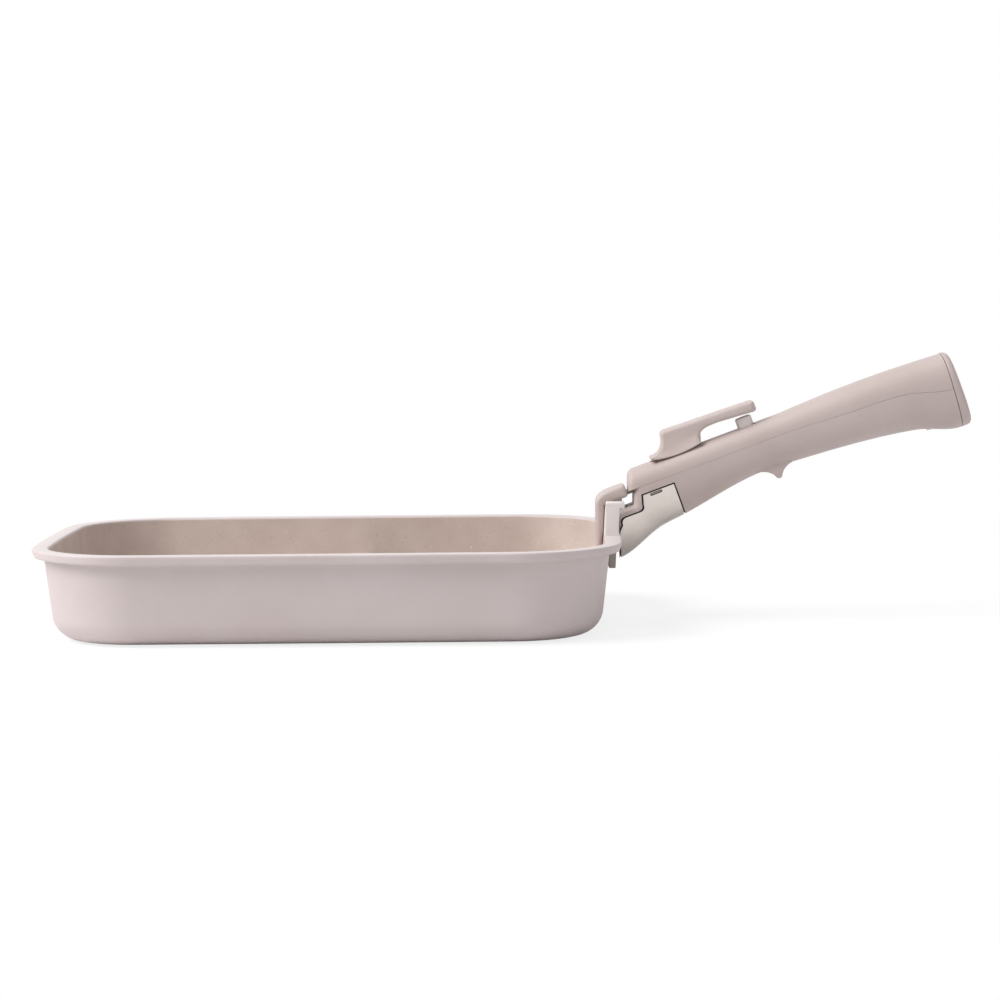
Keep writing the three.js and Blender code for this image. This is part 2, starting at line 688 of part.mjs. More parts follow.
const chinX = RIM_LENGTH / 2 + CHIN_FRONT;
const lowerX = RIM_LENGTH / 2 + LOWER_OUT;
const aheadOf = (x) => solid(plumb(box(x - FAR, x, -FAR, FAR, -FAR, FAR)));
const above = (v) => solid(box(-FAR, FAR, -FAR, FAR, v, FAR));

function lowerShell() {
  const overChin = meet(aheadOf(lowerX), above(CHIN_TOP));
  const form = cut(join(lowerForm(0), fingerStop()), overChin, aheadOf(chinX));
  const roof = meet(aheadOf(lowerX + SHELL), above(CHIN_TOP - SHELL));
  const room = cut(gripForm(-1, CHIN_ROOM, GRIP_END + 1, guardInside - SHELL, -SHELL), roof);
  const rearRoom = gripForm(-1, GUARD_REAR + SHELL, GRIP_END + 1, -SHELL, -SHELL);
  const seat = meet(cut(lowerForm(1), lowerForm(guardInside)), slab(guardOutline(GAP)));
  const lug = meet(cut(lowerForm(0), lowerForm(guardInside - SHELL / 2)), guardSlot(-GAP));
  const mouthHalf = STRIP_HALF + RUN_GAP;
  const stripMouth = solid(box(-FAR, CHANNEL_FRONT, -mouthHalf, mouthHalf, channelTop - RUN_GAP, FAR));
  const hollow = join(cut(form, room, rearRoom, seat, stripMouth), lug);
  const posts = channelScrews.map((u) =>
    solid(post(u, 0, BOSS_RADIUS, belly(u) + SHELL / 2, channelBottom - GAP)),
  );
  shellScrews.forEach((u) => {
    posts.push(solid(post(u, 0, BOSS_RADIUS + SHELL / 2, belly(u) + SHELL / 2, parting(u) - SEAM / 2)));
  });
  const springRoot = belly(BUTTON_U) + SHELL / 2;
  posts.push(solid(post(BUTTON_U, 0, LOCK_SPRING_RADIUS - WIRE, springRoot, lockSeat + NIB)));
  posts.push(solid(underGuard(post(0, 0, BOSS_RADIUS, SHELL / 2 - guardInside, GUARD_SCREW_LENGTH + SHELL))));
  const holes = channelScrews.map((u) =>
    solid(post(u, 0, SCREW_RADIUS + HOLE_GAP, channelTop - CHANNEL_SCREW_LENGTH - GAP, channelTop)),
  );
  shellScrews.forEach((u) => {
    holes.push(solid(post(u, 0, SCREW_RADIUS + HOLE_GAP, belly(u) - 1, 0)));
    holes.push(solid(post(u, 0, SCREW_HEAD + GAP, belly(u) - 2, shellSeat(u))));
  });
  holes.push(guardScrewHole());
  for (const y of [-FIXED_SCREW_Y, FIXED_SCREW_Y]) holes.push(solid(plumb(fixedScrewHole(y))));
  return cut(join(hollow, ...posts), ...holes);
}

const lockSeat = belly(BUTTON_U) + SHELL + GAP;
const fixedScrewZ = PAN_HEIGHT + FIXED_SCREW_RISE;
const fixedX = (z) => tabX(z) + WALL + RUN_GAP;
const fixedSeatX = fixedX(fixedScrewZ) + GAP + SCREW_HEAD_HEIGHT;

function fixedScrewHole(y) {
  return post(0, 0, SCREW_RADIUS + HOLE_GAP, 0, FIXED_SCREW_LENGTH + GAP)
    .rotateY(Math.PI / 2)
    .translate(fixedSeatX - 0.01, y, fixedScrewZ);
}

// The grip's whole section at one u
function wholeRing(u, grow, lean) {
  const upper = gripRing(u, 1, grow, 0, lean);
  const lower = gripRing(u, -1, grow, 0, lean);
  return [...upper, ...lower.slice(1, -1)];
}

function endCap() {
  const start = GRIP_END + GAP;
  const end = start + CAP_THICKNESS;
  function endRing(place, grow, lean) {
    return wholeRing(GRIP_END, grow, lean).map((p) => p.setX(p.x + place - GRIP_END));
  }
  const rounding = steps(3).map((t) => {
    const angle = (t * Math.PI) / 2;
    return endRing(end - CAP_ROUND * (1 - Math.sin(angle)), -CAP_ROUND * (1 - Math.cos(angle)), 0);
  });
  const plate = solid(loft([endRing(start, 0, HEEL_LEAN), ...rounding]));
  const inset = -SHELL - GAP;
  const inside = [GRIP_END - SPIGOT, GRIP_END].map((u) => wholeRing(u, inset, 0));
  const spigot = solid(loft([...inside, endRing(end - CAP_ROUND, inset, 0)]));
  return join(plate, spigot);
}

function flameGuard() {
  const sheet = meet(cut(lowerForm(0), lowerForm(-GUARD_SHEET)), slab(guardOutline(0)));
  return cut(sheet, guardSlot(0), guardScrewHole());
}

// Steel strip: runs in the channel, comes out of the mouth and turns down inside the jaw
function hookOutline(grow) {
  const half = STRIP / 2 + grow;
  const legX = tabX(notchTop) - GAP - LEG_DEPTH / 2 - LEG_SET;
  const foot = PAN_HEIGHT + LEG_STEEL_RISE - grow;
  const outline = new THREE.Shape();
  const rear = stripEnd + grow;
  const corner = STRIP_TURN;
  const outer = onLine(STRIP_V + half, legX - half);
  const inner = onLine(STRIP_V - half, legX + half);
  const outerTurn = onLine(STRIP_V + half, legX - half + corner);
  const innerTurn = onLine(STRIP_V - half, legX + half + corner / 3);
  const rearTop = onHandle(rear, STRIP_V + half);
  const rearBottom = onHandle(rear, STRIP_V - half);
  outline.moveTo(legX - half, foot);
  outline.lineTo(legX + half, foot);
  outline.lineTo(legX + half, inner.z - corner / 3);
  outline.quadraticCurveTo(inner.x, inner.z, innerTurn.x, innerTurn.z);
  outline.lineTo(rearBottom.x, rearBottom.z);
  outline.lineTo(rearTop.x, rearTop.z);
  outline.lineTo(outerTurn.x, outerTurn.z);
  outline.quadraticCurveTo(outer.x, outer.z, legX - half, outer.z - corner);
  return outline;
}

function hookPlate() {
  const strip = solid(plumb(prism(hookOutline(0), -STRIP_HALF, STRIP_HALF)));
  const slotHalf = PIN_RADIUS + RUN_GAP;
  const slot = solid(box(BUTTON_U - slotHalf, BUTTON_U + TRAVEL + slotHalf, -slotHalf, slotHalf, -FAR, FAR));
  const holes = SLIDE_SCREWS.map((u) => solid(post(u, 0, SCREW_RADIUS + HOLE_GAP, -FAR, FAR)));
  return cut(strip, slot, ...holes);
}

// Resin sleeve moulded over the hook
function jawCover() {
  const tip = PAN_HEIGHT + LEG_RISE;
  const front = tabX(notchTop) - GAP - LEG_DEPTH;
  const back = (z) => (z > PAN_HEIGHT ? tabX(z) : wallX(z)) - GAP;
  const shoulder = onLine(ARM_TOP, front);
  const shoulderTurn = onLine(ARM_TOP, front + SHOULDER);
  const endTop = onHandle(ARM_END - ARM_ROUND, ARM_TOP);
  const endCorner = onHandle(ARM_END, ARM_TOP);
  const endTurn = onHandle(ARM_END, ARM_TOP - ARM_ROUND);
  const endBottom = onHandle(ARM_END, ARM_BOTTOM);
  const elbow = onLine(ARM_BOTTOM, back(notchTop));
  const outline = new THREE.Shape();
  const tipMiddle = (front + back(tip)) / 2;
  outline.moveTo(front, tip + LEG_TIP);
  outline.quadraticCurveTo(front, tip, tipMiddle, tip);
  outline.quadraticCurveTo(back(tip), tip, back(tip + LEG_TIP), tip + LEG_TIP);
  outline.lineTo(back(PAN_HEIGHT), PAN_HEIGHT);
  outline.lineTo(elbow.x, elbow.z);
  outline.lineTo(endBottom.x, endBottom.z);
  outline.lineTo(endTurn.x, endTurn.z);
  outline.quadraticCurveTo(endCorner.x, endCorner.z, endTop.x, endTop.z);
  outline.lineTo(shoulderTurn.x, shoulderTurn.z);
  outline.quadraticCurveTo(shoulder.x, shoulder.z, front, shoulder.z - SHOULDER);
  const sleeve = solid(plumb(prism(outline, -JAW_HALF, JAW_HALF, JAW_EDGE)));
  const room = solid(plumb(prism(hookOutline(GAP), -STRIP_HALF - GAP, STRIP_HALF + GAP)));
  return cut(sleeve, room);
}

// Jaw that lies against the outside of the wall, screwed to the chin
function fixedJaw() {
  const z = (rise) => PAN_HEIGHT + rise;
  const back = chinX - GAP;
  const outline = new THREE.Shape();
  const tipX = fixedX(z(FIXED_TIP));
  outline.moveTo(tipX, z(FIXED_TIP) + FIXED_ROUND);
  outline.quadraticCurveTo(tipX, z(FIXED_TIP), tipX + FIXED_ROUND, z(FIXED_TIP));
  outline.lineTo(tipX + FIXED_THICKNESS, z(FIXED_TIP));
  outline.lineTo(fixedX(z(FIXED_STEP)) + FIXED_THICKNESS, z(FIXED_STEP));
  outline.lineTo(back, z(FIXED_STEP) + FIXED_ROUND);
  outline.lineTo(back, z(FIXED_TOP));
  outline.lineTo(fixedX(z(FIXED_TOP)), z(FIXED_TOP));
  const jaw = solid(plumb(prism(outline, -FIXED_HALF, FIXED_HALF, FIXED_ROUND / 2)));
  const holes = [-FIXED_SCREW_Y, FIXED_SCREW_Y].flatMap((y) => {
    const head = post(0, 0, SCREW_HEAD + GAP, -FAR, 0)
      .rotateY(Math.PI / 2)
      .translate(fixedSeatX, y, fixedScrewZ);
    return [solid(plumb(head)), solid(plumb(fixedScrewHole(y)))];
  });
  return cut(jaw, ...holes);
}

function channel() {
  const inside = STRIP_HALF + GAP;
  const outside = inside + CHANNEL_SHEET;
  const section = polygon([
    [-outside, channelBottom],
    [outside, channelBottom],
    [outside, channelLip],
    [inside, channelLip],
    [inside, channelTop],
    [-inside, channelTop],
    [-inside, channelLip],
    [-outside, channelLip],
  ]);
  const length = channelRear - CHANNEL_FRONT;
  const folded = new THREE.ExtrudeGeometry(section, { depth: length, bevelEnabled: false })
    .rotateX(Math.PI / 2)
    .rotateZ(Math.PI / 2)
    .translate(CHANNEL_FRONT, 0, 0);
  const room = SCREW_HEAD + RUN_GAP;
  const window = box(SLIDE_SCREWS[0] - TRAVEL - room, SLIDE_SCREWS[1] + room, -room, room, -FAR, stripBottom);
  const collarHole = post(BUTTON_U, 0, COLLAR_RADIUS + RUN_GAP, -FAR, stripBottom);
  const holes = channelScrews.map((u) => {
    const low = channelBottom - GAP;
    const taper = cone(SCREW_RADIUS + HOLE_GAP, SCREW_HEAD + HOLE_GAP, low, channelTop);
    return solid(taper.translate(u, 0, 0.01));
  });
  return cut(solid(folded), solid(window), solid(collarHole), ...holes);
}

const carriageBottom = stripTop + GAP;
const carriageTop = ceiling - GAP;

function carriage() {
  const shoulder = (carriageBottom + carriageTop) / 2;
  const section = polygon([
    [-CARRIAGE_HALF, carriageBottom],
    [CARRIAGE_HALF, carriageBottom],
    [CARRIAGE_HALF, shoulder],
    [STEM_HALF + RUN_GAP, carriageTop],
    [-STEM_HALF - RUN_GAP, carriageTop],
    [-CARRIAGE_HALF, shoulder],
  ]);
  const block = new THREE.ExtrudeGeometry(section, { depth: STEM_REAR - STEM_FRONT, bevelEnabled: false })
    .rotateX(Math.PI / 2)
    .rotateZ(Math.PI / 2)
    .translate(STEM_FRONT, 0, 0);
  const peg = post(0, 0, CLAMP_SPRING_RADIUS - WIRE, -PEG, PEG, 10)
    .rotateY(Math.PI / 2)
    .translate(STEM_FRONT, 0, CLAMP_SPRING_V);
  const holes = SLIDE_SCREWS.map((u) => solid(post(u, 0, SCREW_RADIUS + HOLE_GAP, -FAR, FAR)));
  return cut(join(solid(block), solid(peg)), ...holes);
}

// Thumb slide: a foot that saddles over the grip, a tall thumb rest and a tail over the lock button
function thumbSlide() {
  const archU = FOOT_REAR + ARCH_REACH;
  const outline = new THREE.Shape();
  outline.moveTo(FOOT_FRONT, FOOT_LOW);
  outline.quadraticCurveTo((FOOT_FRONT + FOOT_REAR) / 2, FOOT_DIP, FOOT_REAR, FOOT_BACK);
  outline.bezierCurveTo(FOOT_REAR, ARCH_TOP, FOOT_REAR + ARCH_REACH / 3, ARCH_TOP, archU, ARCH_TOP);
  outline.lineTo(TAIL_END - TAIL_ROUND, TAIL_BOTTOM);
  outline.quadraticCurveTo(TAIL_END, TAIL_BOTTOM, TAIL_END, TAIL_BOTTOM + TAIL_ROUND);
  outline.lineTo(TAIL_END, TAIL_TOP - TAIL_ROUND);
  outline.quadraticCurveTo(TAIL_END, TAIL_TOP, TAIL_END - TAIL_ROUND, TAIL_TOP);
  outline.lineTo(THUMB_NOSE + THUMB_ROUND, THUMB_TOP);
  outline.quadraticCurveTo(THUMB_NOSE, THUMB_TOP, THUMB_NOSE, THUMB_TOP - THUMB_ROUND);
  const nape = (FOOT_FRONT + THUMB_NOSE) / 2;
  outline.bezierCurveTo(THUMB_NOSE - THUMB_EDGE, FOOT_LOW * 1.45, nape, FOOT_HIGH, FOOT_FRONT, FOOT_HIGH);
  const body = solid(prism(outline, -THUMB_HALF, THUMB_HALF, THUMB_EDGE));
  const saddle = gripForm(1, 0, WAIST_U, GAP, -FAR);
  const stem = solid(box(STEM_FRONT, STEM_REAR, -STEM_HALF, STEM_HALF, carriageTop + GAP, FOOT_HIGH));
  const tip = stripBottom - GAP + SLIDE_SCREW_LENGTH;
  const holes = SLIDE_SCREWS.map((u) => solid(post(u, 0, SCREW_RADIUS + HOLE_GAP, 0, tip + GAP)));
  return cut(join(cut(body, saddle), stem), ...holes);
}

const flangeBottom = BUTTON_FLANGE_TOP - BUTTON_FLANGE;

function lockButton() {
  const cap = box(buttonFront, buttonRear, -BUTTON_HALF, BUTTON_HALF, flangeBottom, BUTTON_TOP);
  const flangeHalf = BUTTON_HALF + BUTTON_FLANGE_OUT;
  const flangeFront = buttonFront - BUTTON_FLANGE_OUT;
  const flangeRear = buttonRear + BUTTON_FLANGE_OUT;
  const flange = box(flangeFront, flangeRear, -flangeHalf, flangeHalf, flangeBottom, BUTTON_FLANGE_TOP);
  const bore = post(BUTTON_U, 0, PIN_RADIUS + HOLE_GAP, flangeBottom - 1, BUTTON_TOP - PIN_COVER);
  return cut(join(solid(cap), solid(flange)), solid(bore));
}

const collarTop = stripBottom - GAP;
const collarBottom = collarTop - COLLAR;

function latchPin() {
  const neck = post(BUTTON_U, 0, PIN_RADIUS, collarBottom, BUTTON_TOP - PIN_COVER - GAP);
  const collar = post(BUTTON_U, 0, COLLAR_RADIUS, collarBottom, collarTop);
  const nib = post(BUTTON_U, 0, LOCK_SPRING_RADIUS - WIRE, collarBottom - NIB, collarTop);
  return join(solid(neck), solid(collar), solid(nib));
}

class Helix extends THREE.Curve {
  constructor(radius, length, turns) {
    super();
    Object.assign(this, { radius, length, turns });
  }
  getPoint(t, target = new THREE.Vector3()) {
    const angle = 2 * Math.PI * this.turns * t;
    return target.set(this.radius * Math.cos(angle), this.radius * Math.sin(angle), this.length * t);
  }
}

// A spring standing on Z 0, one unbroken tube
function spring(radius, height, turns) {
  const wire = new THREE.Shape().absarc(0, 0, WIRE / 2, 0, 2 * Math.PI);
  const path = new Helix(radius, height - WIRE, turns);
  const tube = new THREE.ExtrudeGeometry(wire, { steps: 7 * turns, extrudePath: path, curveSegments: 3 });
  return solid(tube.translate(0, 0, WIRE / 2));
}

const pan = new THREE.Group();
pan.add(mesh("pan_body", panBody(), coating()));
pan.add(mesh("induction_base_plate", basePlate(), steel()));

handle.add(mesh("upper_grip_shell", upperShell(), resin()));
handle.add(mesh("lower_grip_shell", lowerShell(), resin()));
handle.add(mesh("end_cap", endCap(), resin()));
handle.add(mesh("flame_guard", flameGuard(), steel()));
handle.add(mesh("fixed_jaw", fixedJaw(), darkResin()));
handle.add(mesh("slide_channel", channel(), steel()));
handle.add(mesh("hook_plate", hookPlate(), steel()));
handle.add(mesh("jaw_cover", jawCover(), resin()));
handle.add(mesh("slide_carriage", carriage(), darkResin()));
handle.add(mesh("thumb_slide", thumbSlide(), resin()));
handle.add(mesh("lock_button", lockButton(), resin()));
handle.add(mesh("latch_pin", latchPin(), steel()));

const springFront = CAVITY_FRONT + GAP;
const clampSpring = spring(CLAMP_SPRING_RADIUS, STEM_FRONT - GAP - springFront, CLAMP_SPRING_TURNS);
handle.add(placed("clamp_spring", clampSpring, steel(), springFront, 0, CLAMP_SPRING_V, Math.PI / 2));
const lockSpring = spring(LOCK_SPRING_RADIUS, collarBottom - GAP - lockSeat, LOCK_SPRING_TURNS);
handle.add(placed("lock_spring", lockSpring, steel(), BUTTON_U, 0, lockSeat));

["front", "rear"].forEach((end, i) => {
  const u = shellScrews[i];
  const shellScrew = screw(SHELL_SCREW_LENGTH, false);
  handle.add(placed(`shell_screw_${end}`, shellScrew, steel(), u, 0, shellSeat(u) - GAP));
  const headTop = stripBottom - GAP;
  const slideScrew = screw(SLIDE_SCREW_LENGTH, false);
  handle.add(placed(`slide_screw_${end}`, slideScrew, steel(), SLIDE_SCREWS[i], 0, headTop));
  const channelScrew = screw(CHANNEL_SCREW_LENGTH - SCREW_HEAD_HEIGHT, true);
  const sunk = channelTop - SCREW_HEAD_HEIGHT;
  handle.add(placed(`channel_screw_${end}`, channelScrew, steel(), channelScrews[i], 0, sunk, Math.PI));
});
const guardScrew = screw(GUARD_SCREW_LENGTH - SCREW_HEAD_HEIGHT, true);
const inGuard = placed("guard_screw", guardScrew, steel(), GUARD_SCREW_U, 0, SCREW_BELLY, -guardSlope);
inGuard.translateZ(GAP + SCREW_HEAD_HEIGHT);
handle.add(inGuard);
["near", "far"].forEach((side, i) => {
  const made = mesh(`fixed_jaw_screw_${side}`, screw(FIXED_SCREW_LENGTH, false), steel());
  made.position.set(fixedSeatX - GAP, (i * 2 - 1) * FIXED_SCREW_Y, fixedScrewZ).applyMatrix4(intoHandle);
  made.rotation.y = Math.PI / 2 + HANDLE_TILT;
  handle.add(made);
});

const product = new THREE.Group();
product.add(pan, handle);
export default product;
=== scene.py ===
import math

import bmesh
import bpy
from mathutils import Matrix, Vector


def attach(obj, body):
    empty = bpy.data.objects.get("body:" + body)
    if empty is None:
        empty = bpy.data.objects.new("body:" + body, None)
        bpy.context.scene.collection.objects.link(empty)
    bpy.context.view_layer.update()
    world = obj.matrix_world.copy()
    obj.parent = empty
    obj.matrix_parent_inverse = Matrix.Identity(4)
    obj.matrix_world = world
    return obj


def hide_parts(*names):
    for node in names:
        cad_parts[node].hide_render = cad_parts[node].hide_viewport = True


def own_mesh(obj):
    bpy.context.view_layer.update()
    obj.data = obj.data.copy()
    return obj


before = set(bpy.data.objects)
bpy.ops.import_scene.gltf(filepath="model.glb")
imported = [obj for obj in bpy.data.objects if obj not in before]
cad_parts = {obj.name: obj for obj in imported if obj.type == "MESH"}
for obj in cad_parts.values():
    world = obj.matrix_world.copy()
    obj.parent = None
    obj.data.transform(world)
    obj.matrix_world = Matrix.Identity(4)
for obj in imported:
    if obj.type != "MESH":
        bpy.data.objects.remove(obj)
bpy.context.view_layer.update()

MM = 0.001

# Pan casting: one die-cast aluminium tray with a turned-out rim, dividing ridges and a raised tab
# for the handle. It has a satin greige enamel outside and a speckled non-stick coat inside.
RIM_LENGTH = 275 * MM
RIM_WIDTH = 205 * MM
RIM_CORNER = 50 * MM
END_BOW = 3.3 * MM
SIDE_BOW = 1.3 * MM
RIM_TOP = 42.5 * MM
RIM_LIP = 5.3 * MM
RIM_THICKNESS = 4.1 * MM
RIM_ROUND = 0.7 * MM
RIM_DRAFT = 0.8 * MM
BRINK_ROUND = 1.3 * MM
COAT_OVERLAP = 0.05 * BRINK_ROUND
LIP_FILLET = 1.2 * MM
WALL = 2.6 * MM
WALL_SLOPE = math.tan(math.radians(6.5))
FLOOR = 3.2 * MM
BASE_ROUND = 12 * MM
BASE_Z = 0.3 * MM
FLOOR_Z = BASE_Z + FLOOR
RIM_UNDER = RIM_TOP - RIM_THICKNESS
CORNER_STEPS = 28
SIDE_CUTS = 19
OUTSIDE, INSIDE = 0, 1
SMOOTH_ANGLE = 32


def outer_inset(z):
    return RIM_LIP + (RIM_TOP - z) * WALL_SLOPE


def inner_inset(z):
    return outer_inset(z) + WALL


def quarter(steps):
    """Angles of a quarter turn, from 0 to a right angle."""
    return [i / steps * math.pi / 2 for i in range(steps + 1)]


def round_over(radius, steps):
    """Pairs for a quarter rounding: how far in from the side, and how far short of the end."""
    return [(radius * (1 - math.cos(a)), radius * (1 - math.sin(a))) for a in quarter(steps)]


def base_rounding(inset_at, base, radius, steps=9):
    """Pairs of inset and height for the rounding from a drafted wall down to a flat base."""
    draft = math.atan(WALL_SLOPE)
    centre = inset_at(base + radius) + radius / math.cos(draft)
    turn = math.pi / 2 - draft
    angles = [draft + turn * i / steps for i in range(steps + 1)]
    return [
        (centre - radius * math.cos(a), base + radius - radius * math.sin(a)) for a in angles
    ]


def work_on(piece):
    """Makes a piece the active one and the only one selected."""
    bpy.ops.object.select_all(action="DESELECT")
    piece.select_set(True)
    bpy.context.view_layer.objects.active = piece


def just_added(name):
    """The object that was added last, with its name."""
    piece = bpy.context.object
    piece.name = name
    return piece


def start_editing(piece):
    work_on(piece)
    bpy.ops.object.mode_set(mode="EDIT")
    bpy.ops.mesh.select_mode(type="FACE")


def face_outward():
    bpy.ops.mesh.select_all(action="SELECT")
    bpy.ops.mesh.normals_make_consistent(inside=False)


def done_editing():
    face_outward()
    bpy.ops.object.mode_set(mode="OBJECT")


def pick_faces(piece, wanted):
    """Selects, in edit mode, the faces that a test on centre and normal wants."""
    bpy.ops.mesh.select_all(action="DESELECT")
    shape = bmesh.from_edit_mesh(piece.data)
    for face in shape.faces:
        face.select_set(wanted(face.calc_center_median(), face.normal))
    bmesh.update_edit_mesh(piece.data)


def rounded_slab(name, length, width, corner, top, bottom):
    """A slab with rounded corners: a plane, its corners bevelled, its long sides cut, extruded."""
    bpy.ops.mesh.primitive_plane_add(size=1, location=(0, 0, 0))
    piece = just_added(name)
    start_editing(piece)
    bpy.ops.mesh.select_all(action="SELECT")
    bpy.ops.transform.resize(value=(length, width, 1), center_override=(0, 0, 0))
    bpy.ops.transform.translate(value=(0, 0, top))
    bpy.ops.mesh.bevel(affect="VERTICES", offset=corner, segments=CORNER_STEPS, profile=0.5)
    bpy.ops.mesh.select_mode(type="EDGE")
    bpy.ops.mesh.select_all(action="DESELECT")
    outline = bmesh.from_edit_mesh(piece.data)
    for edge in outline.edges:
        edge.select_set(edge.calc_length() > corner / 3)
    bmesh.update_edit_mesh(piece.data)
    bpy.ops.mesh.subdivide(number_cuts=SIDE_CUTS)
    bpy.ops.mesh.select_mode(type="FACE")
    bpy.ops.mesh.select_all(action="SELECT")
    drop = {"value": (0, 0, bottom - top)}
    bpy.ops.mesh.extrude_region_move(TRANSFORM_OT_translate=drop)
    face_outward()
    return piece


def pan_slab(name, inset, top, bottom):
    """A slab with the pan's plan, drawn in from the rim."""
    length, width = RIM_LENGTH - 2 * inset, RIM_WIDTH - 2 * inset
    return rounded_slab(name, length, width, RIM_CORNER - inset, top, bottom)


def step_in(piece, facing, rows):
    """Insets the face that looks one way along rows of inset and height above it."""
    pick_faces(piece, lambda centre, normal: normal.dot(facing) > 0.99)
    for (inset, height), (next_inset, next_height) in zip(rows, rows[1:]):
        rise = next_height - height
        bpy.ops.mesh.inset(thickness=next_inset - inset, depth=rise, use_even_offset=True)


def skin(name, rings):
    """A closed skin over rings of points: a filled circle, extruded from ring to ring."""
    bpy.ops.mesh.primitive_circle_add(vertices=len(rings[0]), fill_type="NGON")
    piece = just_added(name)
    start_editing(piece)
    bpy.ops.mesh.select_all(action="SELECT")
    for step, ring in enumerate(rings):
        if step:
            bpy.ops.mesh.extrude_region()
        shape = bmesh.from_edit_mesh(piece.data)
        end = next(face for face in shape.faces if face.select)
        for corner, point in zip(end.loops, ring):
            corner.vert.co = point
        bmesh.update_edit_mesh(piece.data)
    done_editing()
    return piece


def side_plate(name, outline, near_y, far_y, rounding=0.0):
    """A plate with an outline in X and Z, carried along Y, with both of its rims rounded."""
    ends = [near_y + rounding, far_y - rounding]
    piece = skin(name, [[Vector((x, y, z)) for x, z in outline] for y in ends])
    if rounding:
        start_editing(piece)
        rows = [(rounding * (1 - math.cos(a)), rounding * math.sin(a)) for a in quarter(4)]
        for facing in (-1, 1):
            step_in(piece, Vector((0, facing, 0)), rows)
        done_editing()
    return piece


def curve(start, *controls, steps=8):
    """Points of a Bezier curve after its start, the last control being its end."""
    points = [Vector(p) for p in (start, *controls)]
    degree = len(points) - 1
    shares = [math.comb(degree, k) for k in range(degree + 1)]
    found = []
    for i in range(1, steps + 1):
        t = i / steps
        weights = [n * t**k * (1 - t) ** (degree - k) for k, n in enumerate(shares)]
        found.append(sum((p * w for p, w in zip(points, weights)), Vector((0, 0))))
    return [tuple(p) for p in found]


def round_corner(corner, come, go, radius, steps):
    """Points of a rounding that comes to a corner from one direction and goes off in another."""
    start, end = ([c + radius * d for c, d in zip(corner, way)] for way in (come, go))
    return curve(start, corner, end, steps=steps)


def bow(piece):
    """Draws the corners in, so that the four sides bow out a little as the casting's do."""
    for vertex in piece.data.vertices:
        x, y = vertex.co.x, vertex.co.y
        vertex.co.x -= END_BOW * x / (RIM_LENGTH / 2) * (y / (RIM_WIDTH / 2)) ** 2
        vertex.co.y -= SIDE_BOW * y / (RIM_WIDTH / 2) * (x / (RIM_LENGTH / 2)) ** 2


def combine(piece, tool, operation):
    """Joins a tool to a piece, cuts it from the piece or keeps what they share. The tool goes."""
    change = piece.modifiers.new("combine", "BOOLEAN")
    change.operation = operation
    change.object = tool
    change.solver = "EXACT"
    work_on(piece)
    bpy.ops.object.modifier_apply(modifier=change.name)
    bpy.data.objects.remove(tool)


def cut(piece, tool):
    combine(piece, tool, "DIFFERENCE")


def join(piece, tool):
    combine(piece, tool, "UNION")


def smooth(piece, angle):
    work_on(piece)
    bpy.ops.object.shade_smooth_by_angle(angle=math.radians(angle))


def down(rows):
    """Rows of inset and height as seen from a face that looks down."""
    return [(inset, -z) for inset, z in rows]


UP, DOWN = Vector((0, 0, 1)), Vector((0, 0, -1))
rim_edge = RIM_TOP - 2 * RIM_ROUND
pan = pan_slab("pan_casting", 0, RIM_TOP - RIM_ROUND, rim_edge)
under_lip = [(0, rim_edge)] + [
    (RIM_DRAFT + drawn, RIM_UNDER + short) for drawn, short in round_over(RIM_ROUND, 4)
]
lip_inset = outer_inset(RIM_UNDER)
lip_root = [
    (lip_inset - short, RIM_UNDER - drawn) for drawn, short in round_over(LIP_FILLET, 4)
]
outside_rows = [*under_lip, *lip_root, *base_rounding(outer_inset, BASE_Z, BASE_ROUND)]
step_in(pan, DOWN, down(outside_rows))
over_lip = [(drawn, RIM_TOP - short) for drawn, short in round_over(RIM_ROUND, 5)]
brink_inset = inner_inset(RIM_TOP - BRINK_ROUND)
brink = [(brink_inset - short, RIM_TOP - drawn) for drawn, short in round_over(BRINK_ROUND, 8)]
inside_rows = [*over_lip, *brink, *base_rounding(inner_inset, FLOOR_Z, BASE_ROUND - WALL)]
step_in(pan, UP, inside_rows)
done_editing()


def shader_group(name, inputs, outputs):
    """An empty node group with named inputs, each with its value, and named outputs."""
    group = bpy.data.node_groups.new(name, "ShaderNodeTree")
    for label, value in inputs.items():
        socket = group.interface.new_socket(label, in_out="INPUT", socket_type="NodeSocketFloat")
        socket.default_value = value
    for label in outputs:
        group.interface.new_socket(label, in_out="OUTPUT", socket_type="NodeSocketFloat")
    return group, group.nodes.new("NodeGroupInput"), group.nodes.new("NodeGroupOutput")


def node(tree, kind, settings=None, values=None):
    """A node with its settings and with values, or links, on its input sockets."""
    made = tree.nodes.new("ShaderNode" + kind)
    for key, value in (settings or {}).items():
        setattr(made, key, value)
    for key, value in (values or {}).items():
        if isinstance(value, bpy.types.NodeSocket):
            tree.links.new(value, made.inputs[key])
        else:
            made.inputs[key].default_value = value
    return made


def mapped(tree, value, low, high, to_low, to_high):
    """A value carried from one range to another, held at the ends."""
    scale = {"Value": value, "From Min": low, "From Max": high, "To Min": to_low, "To Max": to_high}
    return node(tree, "MapRange", {}, scale).outputs["Result"]


def maths(tree, operation, first, second):
    """What a calculation with two values, or links, comes to."""
    return node(tree, "Math", {"operation": operation}, {0: first, 1: second}).outputs[0]


# Drift: slow change over a surface, for sprayed coats and moulded skins that are never quite even
drift, drift_in, drift_out = shader_group("drift", {"Scale": 30.0}, ["Value"])
place = node(drift, "TexCoord").outputs["Object"]
size = drift_in.outputs["Scale"]
cloud = node(drift, "TexNoise", {}, {"Vector": place, "Scale": size, "Detail": 3.0})
drift.links.new(mapped(drift, cloud.outputs["Fac"], 0.3, 0.7, 0.0, 1.0), drift_out.inputs["Value"])

